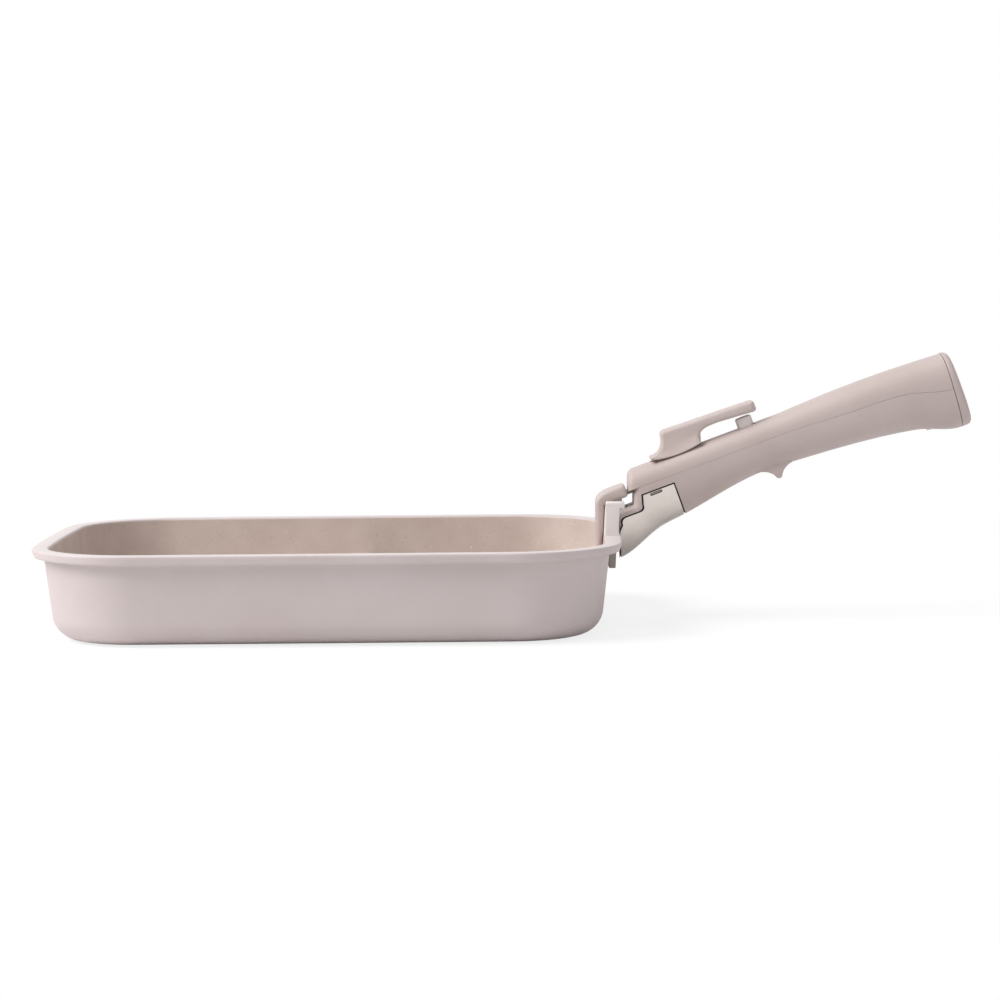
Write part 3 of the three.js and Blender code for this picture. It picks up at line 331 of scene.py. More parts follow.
# Flecks: scattered round specks of many sizes, as in a marbled non-stick coat
flecks, flecks_in, flecks_out = shader_group(
    "flecks", {"Scale": 700.0, "Share": 0.3, "Radius": 0.3}, ["Mask"]
)
place = node(flecks, "TexCoord").outputs["Object"]
cells = node(flecks, "TexVoronoi", {}, {"Vector": place, "Scale": flecks_in.outputs["Scale"]})
draw = node(flecks, "SeparateColor", {}, {"Color": cells.outputs["Color"]})
chosen = maths(flecks, "LESS_THAN", draw.outputs["Red"], flecks_in.outputs["Share"])
spread = mapped(flecks, draw.outputs["Green"], 0.0, 1.0, 0.35, 1.0)
reach = maths(flecks, "MULTIPLY", spread, flecks_in.outputs["Radius"])
edge = maths(flecks, "DIVIDE", cells.outputs["Distance"], reach)
dot = mapped(flecks, edge, 0.6, 1.0, 1.0, 0.0)
flecks.links.new(maths(flecks, "MULTIPLY", dot, chosen), flecks_out.inputs["Mask"])

# Grain: the fine even tooth of a sprayed or spark-eroded surface
grain, grain_in, grain_out = shader_group("grain", {"Scale": 1800.0}, ["Height"])
place = node(grain, "TexCoord").outputs["Object"]
size = grain_in.outputs["Scale"]
tooth = node(grain, "TexNoise", {}, {"Vector": place, "Scale": size, "Detail": 2.0})
grain.links.new(tooth.outputs["Fac"], grain_out.inputs["Height"])


def srgb(red, green, blue):
    """A colour written as on a screen, as the shader needs it."""
    whole = (c / 255 for c in (red, green, blue))
    return tuple(c / 12.92 if c <= 0.04045 else ((c + 0.055) / 1.055) ** 2.4 for c in whole) + (1,)


def material(name, **constants):
    """A material with a plain shader, whose constants are set on its own sockets."""
    made = bpy.data.materials.new(name)
    made.use_nodes = True
    shader = made.node_tree.nodes["Principled BSDF"]
    for label, value in constants.items():
        shader.inputs[label.replace("_", " ")].default_value = value
    return made, made.node_tree, shader


def use(tree, group, **values):
    """A shared effect placed in a material with its own values; gives its first output."""
    made = tree.nodes.new("ShaderNodeGroup")
    made.node_tree = group
    for label, value in values.items():
        made.inputs[label].default_value = value
    return made.outputs[0]


def tint(tree, share, first, second):
    """A colour that goes from the first to the second with a share."""
    mix = node(tree, "Mix", {"data_type": "RGBA"}, {0: share})
    for socket, colour in ((mix.inputs[6], first), (mix.inputs[7], second)):
        if isinstance(colour, bpy.types.NodeSocket):
            tree.links.new(colour, socket)
        else:
            socket.default_value = colour
    return mix.outputs[2]


def bump(tree, shader, height, strength, distance):
    relief = node(tree, "Bump", {}, {"Strength": strength, "Distance": distance, "Height": height})
    tree.links.new(relief.outputs["Normal"], shader.inputs["Normal"])


def speckled(tree, colour, tone, strength, scale, share, radius):
    """A colour with flecks of another tone over it."""
    mask = use(tree, flecks, Scale=scale, Share=share, Radius=radius)
    return tint(tree, mapped(tree, mask, 0, 1, 0, strength), colour, tone)


GRAIN_HEIGHT = 0.2 * MM


def coated(tree, shader, colour, gloss_scale, rough, tooth_scale, tooth):
    """Gives a shader its colour, a gloss that drifts between two roughnesses, and a fine tooth."""
    tree.links.new(colour, shader.inputs["Base Color"])
    gloss = mapped(tree, use(tree, drift, Scale=gloss_scale), 0, 1, *rough)
    tree.links.new(gloss, shader.inputs["Roughness"])
    bump(tree, shader, use(tree, grain, Scale=tooth_scale), tooth, GRAIN_HEIGHT)


# Painted highlight: the rim's top, and the tab above it, are tinted paler to stand in for the light that
# falls on them.
TOP_PAINTED_HIGHLIGHT, TOP_PAINTED_HIGHLIGHT_BAND = 0.75, 0.3 * MM
enamel, tree, shader = material("greige_enamel", Specular_IOR_Level=0.45)
colour = tint(tree, use(tree, drift, Scale=26.0), srgb(201, 188, 187), srgb(207, 195, 194))
colour = speckled(tree, colour, srgb(238, 233, 231), 0.35, 1500.0, 0.22, 0.3)
height = node(tree, "SeparateXYZ", {}, {0: node(tree, "TexCoord").outputs["Object"]}).outputs["Z"]
painted_top_highlight = mapped(tree, height, RIM_TOP - TOP_PAINTED_HIGHLIGHT_BAND, RIM_TOP + TOP_PAINTED_HIGHLIGHT_BAND, 0, TOP_PAINTED_HIGHLIGHT)
colour = tint(tree, painted_top_highlight, colour, srgb(240, 233, 231))
coated(tree, shader, colour, 45.0, (0.4, 0.5), 900.0, 0.12)

coat, tree, shader = material("speckled_coat", Specular_IOR_Level=0.4)
colour = tint(tree, use(tree, drift, Scale=60.0), srgb(194, 177, 168), srgb(204, 188, 180))
for tone, strength, scale, share, radius in (
    (srgb(160, 140, 128), 0.45, 620.0, 0.3, 0.34),
    (srgb(232, 224, 216), 0.55, 820.0, 0.2, 0.3),
    (srgb(248, 243, 238), 0.8, 420.0, 0.1, 0.16),
):
    colour = speckled(tree, colour, tone, strength, scale, share, radius)
coated(tree, shader, colour, 80.0, (0.42, 0.55), 1300.0, 0.2)


def give(piece, *finishes):
    """Gives a piece its materials, one after the other."""
    for finish in finishes:
        piece.data.materials.append(finish)


give(pan, enamel, coat)
for face in pan.data.polygons:
    x, y, z = face.center
    over_x = abs(x) - RIM_LENGTH / 2 + RIM_CORNER
    over_y = abs(y) - RIM_WIDTH / 2 + RIM_CORNER
    if over_x > 0 and over_y > 0:
        inset = RIM_CORNER - math.hypot(over_x, over_y)
    else:
        inset = RIM_CORNER - max(over_x, over_y)
    inner = z > FLOOR_Z - MM and inset > brink_inset - COAT_OVERLAP
    face.material_index = INSIDE if inner and face.normal.z > -0.1 else OUTSIDE
bow(pan)

RIDGE_X = 8 * MM
RIDGE_TOP = 21 * MM
RIDGE_BASE = 9.5 * MM
RIDGE_CREST = 3.4 * MM
RIDGE_ROOT = FLOOR_Z - FLOOR / 2
RIDGE_FILLET = 4 * MM
RIDGE_FLARE = 5 * MM
crest_z = RIDGE_TOP - RIDGE_CREST / 2
ridge_lean = (RIDGE_BASE - RIDGE_CREST) / 2 / (crest_z - RIDGE_ROOT)


def ridge_half(z):
    return RIDGE_CREST / 2 + (crest_z - z) * ridge_lean


def ridge_section():
    """One side of the ridge's section: foot fillet, leaning flank and half of the round crest."""
    lean = math.atan(ridge_lean)
    centre = ridge_half(FLOOR_Z) + RIDGE_FILLET * (1 - math.sin(lean)) / math.cos(lean)
    half = [(centre, RIDGE_ROOT)]
    for a in quarter(6):
        a *= 1 - lean / (math.pi / 2)
        half.append(
            (centre - RIDGE_FILLET * math.sin(a), FLOOR_Z + RIDGE_FILLET * (1 - math.cos(a)))
        )
    for a in quarter(5):
        half.append((RIDGE_CREST / 2 * math.cos(a), crest_z + RIDGE_CREST / 2 * math.sin(a)))
    return half


def flare(distance, radius):
    """How far a ridge spreads at a distance from the wall that it runs into."""
    if distance <= 0:
        return radius
    if distance >= radius:
        return 0
    return radius - math.sqrt(radius**2 - (radius - distance) ** 2)


def ridge_ring(spread, rise, place):
    """A ring of the ridge's section, spread and raised, set by a place for each side and height."""
    half = [(s + spread, z + rise * max(0, z - FLOOR_Z) / RIDGE_TOP) for s, z in ridge_section()]
    whole = half + [(-s, z) for s, z in reversed(half[:-1])]
    return [place(s, z) for s, z in whole]


FLARE_SHARES = (0, 0.04, 0.12, 0.25, 0.42, 0.65, 1)
flare_steps = [-WALL / 2, *(RIDGE_FLARE * share for share in FLARE_SHARES)]


def wall_back(z):
    return inner_inset(max(z, FLOOR_Z + BASE_ROUND / 2))


def cross_place(end, distance):
    return lambda s, z: Vector((RIDGE_X + s, end * (RIM_WIDTH / 2 - wall_back(z) - distance), z))


def long_place(distance):
    return lambda s, z: Vector((wall_back(z) + distance - RIM_LENGTH / 2, s, z))


def tee_place(distance):
    return lambda s, z: Vector((RIDGE_X - ridge_half(z) - distance, s, z))


cross_rings = []
for end, steps in ((-1, flare_steps), (1, flare_steps[::-1])):
    for d in steps:
        ring = ridge_ring(flare(d, RIDGE_FLARE), flare(d, RIDGE_FLARE), cross_place(end, d))
        cross_rings.append(ring)
ridges = skin("ridges", cross_rings)
long_rings = [
    ridge_ring(flare(d, RIDGE_FLARE), flare(d, RIDGE_FLARE), long_place(d)) for d in flare_steps
]
for d in flare_steps[:0:-1]:
    long_rings.append(ridge_ring(flare(d, RIDGE_FILLET), 0, tee_place(d)))
long_rings.append(ridge_ring(RIDGE_FILLET, 0, tee_place(-RIDGE_CREST / 2)))
join(ridges, skin("long_ridge", long_rings))
blank_top = RIDGE_TOP + 2 * RIDGE_FLARE
blank = pan_slab("blank", outer_inset(blank_top) + WALL / 2, blank_top, blank_top - MM)
blank_rows = base_rounding(lambda z: outer_inset(z) + WALL / 2, RIDGE_ROOT, BASE_ROUND - WALL / 2)
step_in(blank, DOWN, down([(outer_inset(blank_top) + WALL / 2, blank_top - MM), *blank_rows]))
done_editing()
combine(ridges, blank, "INTERSECT")
give(ridges, enamel, coat)
for face in ridges.data.polygons:
    face.material_index = INSIDE

TAB_DRAFT = math.tan(math.radians(3))
TAB_TOP = RIM_TOP + 15.7 * MM
TAB_HALF = 22 * MM
TAB_ROUND = 0.8 * MM
NOTCH_TOP = RIM_TOP + 13 * MM
NOTCH_HALF = 13.5 * MM
RIB_HALF = 16.7 * MM
RIB_DEPTH = 6.7 * MM
RIB_FLARE = 0.7 * MM
HORN_DEPTH = 8.7 * MM
HORN_THICKNESS = 3 * MM
TAB_STEP = 0.05 * MM
TAB_ROOT = RIM_TOP - BRINK_ROUND


def tab_x(z):
    return RIM_LENGTH / 2 - inner_inset(RIM_TOP) + (z - RIM_TOP) * TAB_DRAFT


def wall_x(z):
    return RIM_LENGTH / 2 - inner_inset(z)


tab_outline = [
    (wall_x(TAB_ROOT), TAB_ROOT),
    (wall_x(TAB_ROOT) + WALL, TAB_ROOT),
    (tab_x(NOTCH_TOP) + WALL, NOTCH_TOP),
    (tab_x(NOTCH_TOP), NOTCH_TOP),
]
rib_x = tab_x(RIM_TOP) + RIB_DEPTH
rib_outline = [
    (wall_x(TAB_ROOT), TAB_ROOT),
    (rib_x + RIB_FLARE, TAB_ROOT),
    (rib_x + RIB_FLARE, RIM_TOP),
    (rib_x, RIM_TOP + 2 * RIB_FLARE),
    (tab_x(TAB_TOP) + RIB_DEPTH, TAB_TOP - TAB_ROUND),
    (tab_x(TAB_TOP), TAB_TOP - TAB_ROUND),
]
horn_root = TAB_TOP - HORN_THICKNESS
horn_tip = tab_x(TAB_TOP) + HORN_DEPTH
horn_outline = [
    (tab_x(horn_root), horn_root),
    (horn_tip - TAB_ROUND, horn_root),
    *round_corner((horn_tip, horn_root), (-1, 0), (0, 1), TAB_ROUND, 4),
    *round_corner((horn_tip, TAB_TOP), (0, -1), (-1, 0), TAB_ROUND, 4),
    *round_corner((tab_x(TAB_TOP), TAB_TOP), (1, 0), (0, -1), TAB_ROUND, 4),
]
lobe_outline = [
    (tab_x(horn_root), NOTCH_TOP - 2 * TAB_ROUND),
    (tab_x(horn_root) + WALL, NOTCH_TOP - 2 * TAB_ROUND),
    (tab_x(horn_root) + WALL, TAB_TOP - TAB_ROUND),
    (tab_x(horn_root), TAB_TOP - TAB_ROUND),
]
tab = side_plate("tab", tab_outline, -TAB_HALF + TAB_ROUND, TAB_HALF - TAB_ROUND, TAB_ROUND)
# Each piece is a step off from the last, so that no two faces lie in one plane
for side in (-1, 1):
    for outline, inner, rounding, step in (
        (rib_outline, RIB_HALF, TAB_ROUND, TAB_STEP),
        (horn_outline, NOTCH_HALF, TAB_ROUND / 2, 2 * TAB_STEP),
        (lobe_outline, NOTCH_HALF + TAB_STEP, 0, 3 * TAB_STEP),
    ):
        near, far = sorted((side * inner, side * (TAB_HALF - step)))
        moved = [(x + step, z) for x, z in outline]
        join(tab, side_plate("tab_side", moved, near, far, rounding))

notch_low = RIM_UNDER - LIP_FILLET
notch_outline = [
    (wall_x(notch_low) + WALL, notch_low),
    (RIM_LENGTH / 2 + RIM_LIP, notch_low),
    (RIM_LENGTH / 2 + RIM_LIP, TAB_TOP + MM),
    (tab_x(TAB_TOP + MM) + WALL, TAB_TOP + MM),
    (tab_x(RIM_TOP) + WALL, RIM_TOP),
]
PLATE_LENGTH = 186 * MM
PLATE_WIDTH = 118 * MM
PLATE_CORNER = 26 * MM
PLATE_THICKNESS = 1.2 * MM
PLATE_EASE = 0.2 * MM
GAP = 0.3 * MM
STUD_RADIUS = 3 * MM
STUD_COLUMNS, STUD_ROWS = 4, 3
STUD_PITCH = (46 * MM, 36 * MM)


def stud_posts(name, radius, low, high):
    """Posts on the studs' grid, one modelled and the rest copied."""
    bpy.ops.mesh.primitive_cylinder_add(vertices=32, radius=radius, depth=high - low)
    first = just_added(name)
    posts = [first] + [first.copy() for _ in range(STUD_COLUMNS * STUD_ROWS - 1)]
    for number, post in enumerate(posts):
        if number:
            post.data = first.data.copy()
            bpy.context.scene.collection.objects.link(post)
        column, row = divmod(number, STUD_ROWS)
        x = (column - (STUD_COLUMNS - 1) / 2) * STUD_PITCH[0]
        y = (row - (STUD_ROWS - 1) / 2) * STUD_PITCH[1]
        post.location = (x, y, (low + high) / 2)
        post.select_set(True)
    bpy.context.view_layer.objects.active = first
    bpy.ops.object.join()
    bpy.ops.object.transform_apply()
    return first


recess_top = PLATE_THICKNESS + GAP
recess = rounded_slab(
    "recess", PLATE_LENGTH + 2 * GAP, PLATE_WIDTH + 2 * GAP, PLATE_CORNER + GAP, recess_top, -MM
)
done_editing()
cut(pan, recess)
join(pan, ridges)
join(pan, tab)
cut(pan, side_plate("notch", notch_outline, -NOTCH_HALF, NOTCH_HALF))
join(pan, stud_posts("studs", STUD_RADIUS, BASE_Z, recess_top + GAP))
smooth(pan, SMOOTH_ANGLE)

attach(pan, "pan")
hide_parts("pan_body")

# Base plate: a perforated ferritic steel sheet that lets the pan work on an induction hob. It is
# pressed into the casting's underside while the metal is soft, and the studs fill its holes.
plate = rounded_slab("base_plate", PLATE_LENGTH, PLATE_WIDTH, PLATE_CORNER, PLATE_THICKNESS, PLATE_EASE)
step_in(plate, DOWN, [(0, 0), (0.5 * PLATE_EASE, 0.7 * PLATE_EASE), (1.5 * PLATE_EASE, PLATE_EASE)])
done_editing()
cut(plate, stud_posts("stud_holes", STUD_RADIUS + GAP, -MM, PLATE_THICKNESS + MM))

SCRATCH_HEIGHT = 0.1 * MM
# Brushing: fine parallel scratches, drawn out along X
brushing, brushing_in, brushing_out = shader_group(
    "brushing", {"Along": 40.0, "Across": 2500.0}, ["Height"]
)
place = node(brushing, "TexCoord").outputs["Object"]
long_way, cross_way = brushing_in.outputs["Along"], brushing_in.outputs["Across"]
stretch = node(brushing, "CombineXYZ", {}, {"X": long_way, "Y": cross_way, "Z": cross_way})
drawn = node(brushing, "VectorMath", {"operation": "MULTIPLY"}, {0: place, 1: stretch.outputs[0]})
scratch = node(brushing, "TexNoise", {}, {"Vector": drawn.outputs[0], "Scale": 1.0, "Detail": 3.0})
brushing.links.new(scratch.outputs["Fac"], brushing_out.inputs["Height"])


def steel(name, colour, worn, low, high, scratch_depth, along=40.0, across=2500.0):
    """A brushed steel: two tones that drift, roughness that follows the scratches, and their relief."""
    made, tree, shader = material(name, Metallic=1.0)
    lines = use(tree, brushing, Along=along, Across=across)
    base = tint(tree, use(tree, drift, Scale=70.0), colour, worn)
    tree.links.new(base, shader.inputs["Base Color"])
    tree.links.new(mapped(tree, lines, 0.3, 0.7, low, high), shader.inputs["Roughness"])
    bump(tree, shader, lines, scratch_depth, SCRATCH_HEIGHT)
    return made


def dress(piece, finish, angle=SMOOTH_ANGLE):
    """Smooths a piece's faces and gives it its material."""
    smooth(piece, angle)
    give(piece, finish)


dress(plate, steel("plate_steel", srgb(176, 174, 170), srgb(158, 155, 150), 0.32, 0.5, 0.3))
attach(plate, "pan")
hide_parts("induction_base_plate")

# Grip: two moulded halves of glass-filled heat-proof resin that meet at a parting line. Their
# sections swell from the front to the heel, and the halves are screwed together from below.
HANDLE_PLACE = (140.85, 61.85)
TILT = math.radians(20)
SHELL = 2.2
SEAM = 0.06
SQUARENESS = 2.7
SECTION_STEPS = 56
GRIP_END = 162.4
NOSE = 0.6
NOSE_ROUND = 3
GRIP_TOP = 9.4
CHIN_U, WAIST_U, PALM_START, HEEL_U = -14.4, 60, 80, 140
PALM_RISE = 1.3
GRIP_HALF = 12
HEEL_HALF = 14.7
PARTING = 0.5
HEEL_LEAN = 0.06
CAVITY_FRONT = 5
TRAVEL = 12
PLAY = 0.3
RUN_GAP = 0.4
EDGE_BREAK = 0.18
EDGE_LEAST = 0.15
PAST = 1
GUARD_SCREW_U, GUARD_REAR = 10, 22.2


def at(u, y, v):
    """A point of the handle's own frame, in millimetres: u along the grip, v square to it."""
    x = HANDLE_PLACE[0] + u * math.cos(TILT) - v * math.sin(TILT)
    z = HANDLE_PLACE[1] + u * math.sin(TILT) + v * math.cos(TILT)
    return Vector((x, y, z)) * MM


def through(*knots):
    """A smooth curve through knots, level with the chord of each knot's neighbours."""

    def value(u):
        u = min(max(u, knots[0][0]), knots[-1][0])
        i = next(k for k in range(1, len(knots)) if u <= knots[k][0])
        (u0, v0), (u1, v1) = knots[i - 1], knots[i]
        before = knots[i - 2] if i > 1 else (2 * u0 - u1, v1)
        after = knots[i + 1] if i + 1 < len(knots) else (2 * u1 - u0, v0)
        half = (u1 - u0) / 2
        w0, w1 = half / (u0 - before[0]), half / (after[0] - u1)
        p = (u - u0) / (u1 - u0)
        return (
            before[1] * (-w0 * p**3 + 2 * w0 * p**2 - w0 * p)
            + v0 * ((1 + w0) * p**3 + (-1.5 - 2 * w0) * p**2 + (w0 - 0.5) * p + 1)
            + v1 * ((-1 - w1) * p**3 + (1.5 + w1) * p**2 + 0.5 * p)
            + after[1] * (w1 * p**3 - w1 * p**2)
        )

    return value


half_width = through((WAIST_U, GRIP_HALF), (HEEL_U, HEEL_HALF), (GRIP_END, HEEL_HALF))
parting = through((PALM_START, PARTING), (110, -0.8), (HEEL_U, -2.2), (GRIP_END, -7.4))
belly = through(
    (CHIN_U, -29), (GUARD_SCREW_U, -21.6), (GUARD_REAR, -20), (WAIST_U, -14.1),
    (PALM_START, -14.5), (HEEL_U, -20.8), (GRIP_END, -27),
)


def share_of(value, low, high):
    """How far a value has come from low to high, held between 0 and 1."""
    return min(max((value - low) / (high - low), 0), 1)


def crown(u):
    along = share_of(u, PALM_START, GRIP_END)
    return GRIP_TOP + PALM_RISE * math.sin(math.pi * along)


def heel_lean(u):
    return HEEL_LEAN * share_of(u, HEEL_U, GRIP_END)


def half_ring(u, side, grow=0.0, short=SEAM / 2, lean=None, broken=EDGE_BREAK):
    """Half of the grip's section, the upper for side 1. It can grow, and its seam edges are eased."""
    lean = heel_lean(u) if lean is None else lean
    broken *= EDGE_LEAST + (1 - EDGE_LEAST) * share_of(u, WAIST_U, HEEL_U)
    half = half_width(u) + grow
    middle = parting(u)
    reach = (crown(u) - middle if side > 0 else middle - belly(u)) + grow
    ring = [(half - broken, short), (half - 0.3 * broken, short + 0.3 * broken)]
    for step in range(1, SECTION_STEPS):
        angle = step / SECTION_STEPS * math.pi
        c = math.cos(angle)
        y = half * math.copysign(abs(c) ** (2 / SQUARENESS), c)
        ring.append((y, max(reach * math.sin(angle) ** (2 / SQUARENESS), short + broken)))
    ring += [(broken * 0.3 - half, short + 0.3 * broken), (broken - half, short)]
    heights = [(side * y, middle + side * v) for y, v in ring]
    return [at(u + lean * v, y, v) for y, v in heights]


def stations(first, last, count):
    return [first + (last - first) * i / count for i in range(count + 1)]


def half_form(name, side, first, last, grow=0.0, short=SEAM / 2, broken=EDGE_BREAK, count=64):
    rings = [half_ring(u, side, grow, short, None, broken) for u in stations(first, last, count)]
    return skin(name, rings)


def tilted_block(name, u_range, half, v_range):
    """A plain block set in the handle's frame, equally far out on both sides."""
    low, high = v_range
    section = ((-half, low), (half, low), (half, high), (-half, high))
    return skin(name, [[at(u, y, v) for y, v in section] for u in u_range])


STEM_FRONT, STEM_REAR, STEM_HALF = 28, 41, 3
BUTTON_U, BUTTON_LENGTH, BUTTON_HALF = 64.5, 7.9, 4
nose_rings = []
for a in quarter(8):
    share = a / (math.pi / 2)
    drawn_in = -NOSE_ROUND * (1 - math.sin(a))
    lean = math.tan(TILT) * (1 - share / 3)
    nose_rings.append(half_ring(NOSE + NOSE_ROUND * (1 - math.cos(a)), 1, drawn_in, SEAM / 2, lean))
body_start = NOSE + 2 * NOSE_ROUND
body_rings = [half_ring(u, 1) for u in stations(body_start, GRIP_END, 64)]
upper = skin("grip_upper", nose_rings + body_rings)
cut(upper, half_form("upper_room", 1, CAVITY_FRONT, GRIP_END + PAST, -SHELL, -SHELL, 0))
slot_u = (STEM_FRONT - TRAVEL - RUN_GAP, STEM_REAR + RUN_GAP)
cut(upper, tilted_block("stem_slot", slot_u, STEM_HALF + RUN_GAP, (0, GRIP_TOP + PAST)))
window_u = (BUTTON_U - BUTTON_LENGTH / 2 - RUN_GAP, BUTTON_U + BUTTON_LENGTH / 2 + RUN_GAP)
cut(upper, tilted_block("button_window", window_u, BUTTON_HALF + RUN_GAP, (0, GRIP_TOP + PAST)))


def moulded(name, first, second, rough):
    """A moulded resin: two close tones that drift, uneven gloss and a fine tooth."""
    made, tree, shader = material(name, Specular_IOR_Level=0.35)
    colour = tint(tree, use(tree, drift, Scale=35.0), first, second)
    coated(tree, shader, colour, 90.0, (rough - 0.06, rough + 0.06), 1600.0, 0.25)
    return made


resin = moulded("grip_resin", srgb(193, 177, 173), srgb(200, 185, 181), 0.47)
dress(upper, resin)
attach(upper, "handle")
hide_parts("upper_grip_shell")

# Lower grip half: the same resin, with a chin for the fixed jaw, a finger stop below and a seat for
# the flame guard. It is cut hollow, and two bosses take the screws that hold the halves together.
CHIN_X = 137.4
CHIN_TOP = -6.6
LOWER_X = 144
BROW_ROUND = 3.6
STOP_U, STOP_DEPTH, STOP_HALF, STOP_LEAD, STOP_TAIL, STOP_TIP = 71, 5.4, 7.5, 10, 8, 1.2
STOP_FOOT, STOP_ROUND = 1, 0.9
GUARD_SHEET = 0.8
GUARD_TOP, GUARD_STEP, GUARD_STEP_U, GUARD_LEAN, GUARD_TURN = -3.7, -10.9, 6.7, 1.3, 2.8
GUARD_BROW_U, GUARD_BROW, GUARD_CHEEK = -4.2, 3, (-9.6, -16.5)
GUARD_SLOT_U, GUARD_SLOT_LENGTH, GUARD_SLOT_HEIGHT, GUARD_SLOT_LEVEL = 13, 6.2, 1.4, -0.95
SEAT_LINE, SEAT_LINE_DEPTH, SHADOWED = 0.7, 0.5, 1
LUG_PLAY, LUG_SUNK = 0.45, 0.6
GUARD_LOW = -32
CUT_HALF, CUT_AHEAD, CUT_TOP = 30, 60, 120
ROOM_FRONT = -4
CORE_DEPTH = 10
MOUTH_U, MOUTH_TOP = (-20, 8), 20
FINE_END = 8


def tilted_outline(points):
    """Points of the handle's frame as X and Z, for a plate's outline."""
    return [(p.x, p.z) for p in (at(u, 0, v) for u, v in points)]


def tilted_plate(name, points, half=CUT_HALF, rounding=0.0):
    """A plate with its outline in the handle's frame, equally far out on both sides."""
    return side_plate(name, tilted_outline(points), -half * MM, half * MM, rounding * MM)


stop_root = belly(STOP_U)
stop_tip = stop_root - STOP_DEPTH
stop_lip = stop_tip + STOP_TIP / 2
stop_start = (STOP_U - STOP_LEAD, stop_root + STOP_FOOT)
stop_end = (STOP_U + STOP_TAIL, stop_root)
lip_front, lip_rear = (STOP_U - STOP_TIP, stop_lip), (STOP_U + STOP_TIP, stop_lip)
stop_points = [
    (stop_start[0], stop_root + 2 * SHELL),
    stop_start,
    *curve(stop_start, (STOP_U - 2.5 * STOP_TIP, stop_root), lip_front, steps=10),
    *curve(lip_front, (STOP_U, stop_tip - STOP_TIP / 2), lip_rear, steps=6),
    *curve(lip_rear, (STOP_U + 2.3 * STOP_TIP, stop_root - STOP_TIP), stop_end, steps=10),
    (stop_end[0], stop_root + 2 * SHELL),
]


def along_and_up(point):
    """The u and v of a point in the handle's frame."""
    x, z = point.x / MM - HANDLE_PLACE[0], point.z / MM - HANDLE_PLACE[1]
    return x * math.cos(TILT) + z * math.sin(TILT), z * math.cos(TILT) - x * math.sin(TILT)


def brow_ring(u):
    """A ring of the lower half, drawn in where it nears the front edge and the chin's top edge."""
    ring = []
    for point in half_ring(u, -1):
        v = along_and_up(point)[1]
        off = math.hypot(max(0, point.x / MM - LOWER_X), max(0, CHIN_TOP - v))
        left = max(0, BROW_ROUND - off)
        draw = BROW_ROUND - math.sqrt(BROW_ROUND**2 - left**2)
        ring.append(Vector((point.x, point.y - math.copysign(draw * MM, point.y), point.z)))
    return ring


lower_stations = stations(CHIN_U, FINE_END, 40) + stations(FINE_END, GRIP_END, 56)[1:]
lower = skin("grip_lower", [brow_ring(u) for u in lower_stations])
join(lower, tilted_plate("finger_stop", stop_points, STOP_HALF, STOP_ROUND))


def guard_points(grow):
    """The flame guard's side outline, grown for the seat behind it."""
    front, step, brow = GUARD_STEP_U - grow, GUARD_STEP + grow, GUARD_BROW_U - grow
    turn = (front - GUARD_LEAN, step + GUARD_TURN)
    return [
        (GUARD_REAR + grow, GUARD_TOP + grow),
        (front, GUARD_TOP + grow),
        turn,
        *round_corner((turn[0], step), (0, 1), (-1, 0), GUARD_TURN, 8),
        (brow, step),
        *round_corner((brow - GUARD_BROW, step), (1, 0), (0, -1), GUARD_BROW, 8),
        (GUARD_CHEEK[0] - grow, GUARD_CHEEK[1]),
        (CHIN_U - grow, GUARD_LOW),
        (GUARD_REAR + grow, GUARD_LOW),
    ]


def full_turn(count):
    """Angles of a whole turn."""
    return [2 * math.pi * i / count for i in range(count)]


def slot_points(grow):
    """The slot near the guard's top edge, or the lug that stands in it."""
    radius = GUARD_SLOT_HEIGHT / 2 + grow
    reach = (GUARD_SLOT_LENGTH - GUARD_SLOT_HEIGHT) / 2
    points = []
    for turn in full_turn(16):
        end = reach if math.cos(turn) > 0 else -reach
        level = GUARD_TOP + GUARD_SLOT_LEVEL + radius * math.sin(turn)
        points.append((GUARD_SLOT_U + end + radius * math.cos(turn), level))
    return points


def on_line(v, x):
    """The point at height v of the handle's frame that has a given X."""
    u = (x / MM - HANDLE_PLACE[0] + v * math.sin(TILT)) / math.cos(TILT)
    point = at(u, 0, v)
    return point.x, point.z


def ahead_of(name, x, low_front, low_back):
    """What lies ahead of a plumb face and above a line between two points."""
    top = [(x * MM, CUT_TOP * MM), ((x - CUT_AHEAD) * MM, CUT_TOP * MM)]
    return side_plate(name, [low_front, low_back, *top], -CUT_HALF * MM, CUT_HALF * MM)


def corner_block(name, x, v):
    """What lies ahead of a plumb face and above a level of the handle's frame."""
    return ahead_of(name, x, on_line(v, (x - CUT_AHEAD) * MM), on_line(v, x * MM))


cut(lower, corner_block("over_chin", LOWER_X, CHIN_TOP))
chin_cut = ahead_of("chin_cut", CHIN_X, ((CHIN_X - CUT_AHEAD) * MM, 0), (CHIN_X * MM, 0))
cut(lower, chin_cut)
front_inset = -SHELL - GUARD_SHEET - PLAY
room = half_form("front_room", -1, ROOM_FRONT, GRIP_END + PAST, front_inset, -SHELL, 0)
cut(room, corner_block("roof", LOWER_X + SHELL, CHIN_TOP - SHELL))
cut(lower, room)
rear_start = GUARD_REAR + 2 * SHELL
cut(lower, half_form("rear_room", -1, rear_start, GRIP_END + PAST, -SHELL, -SHELL, 0))
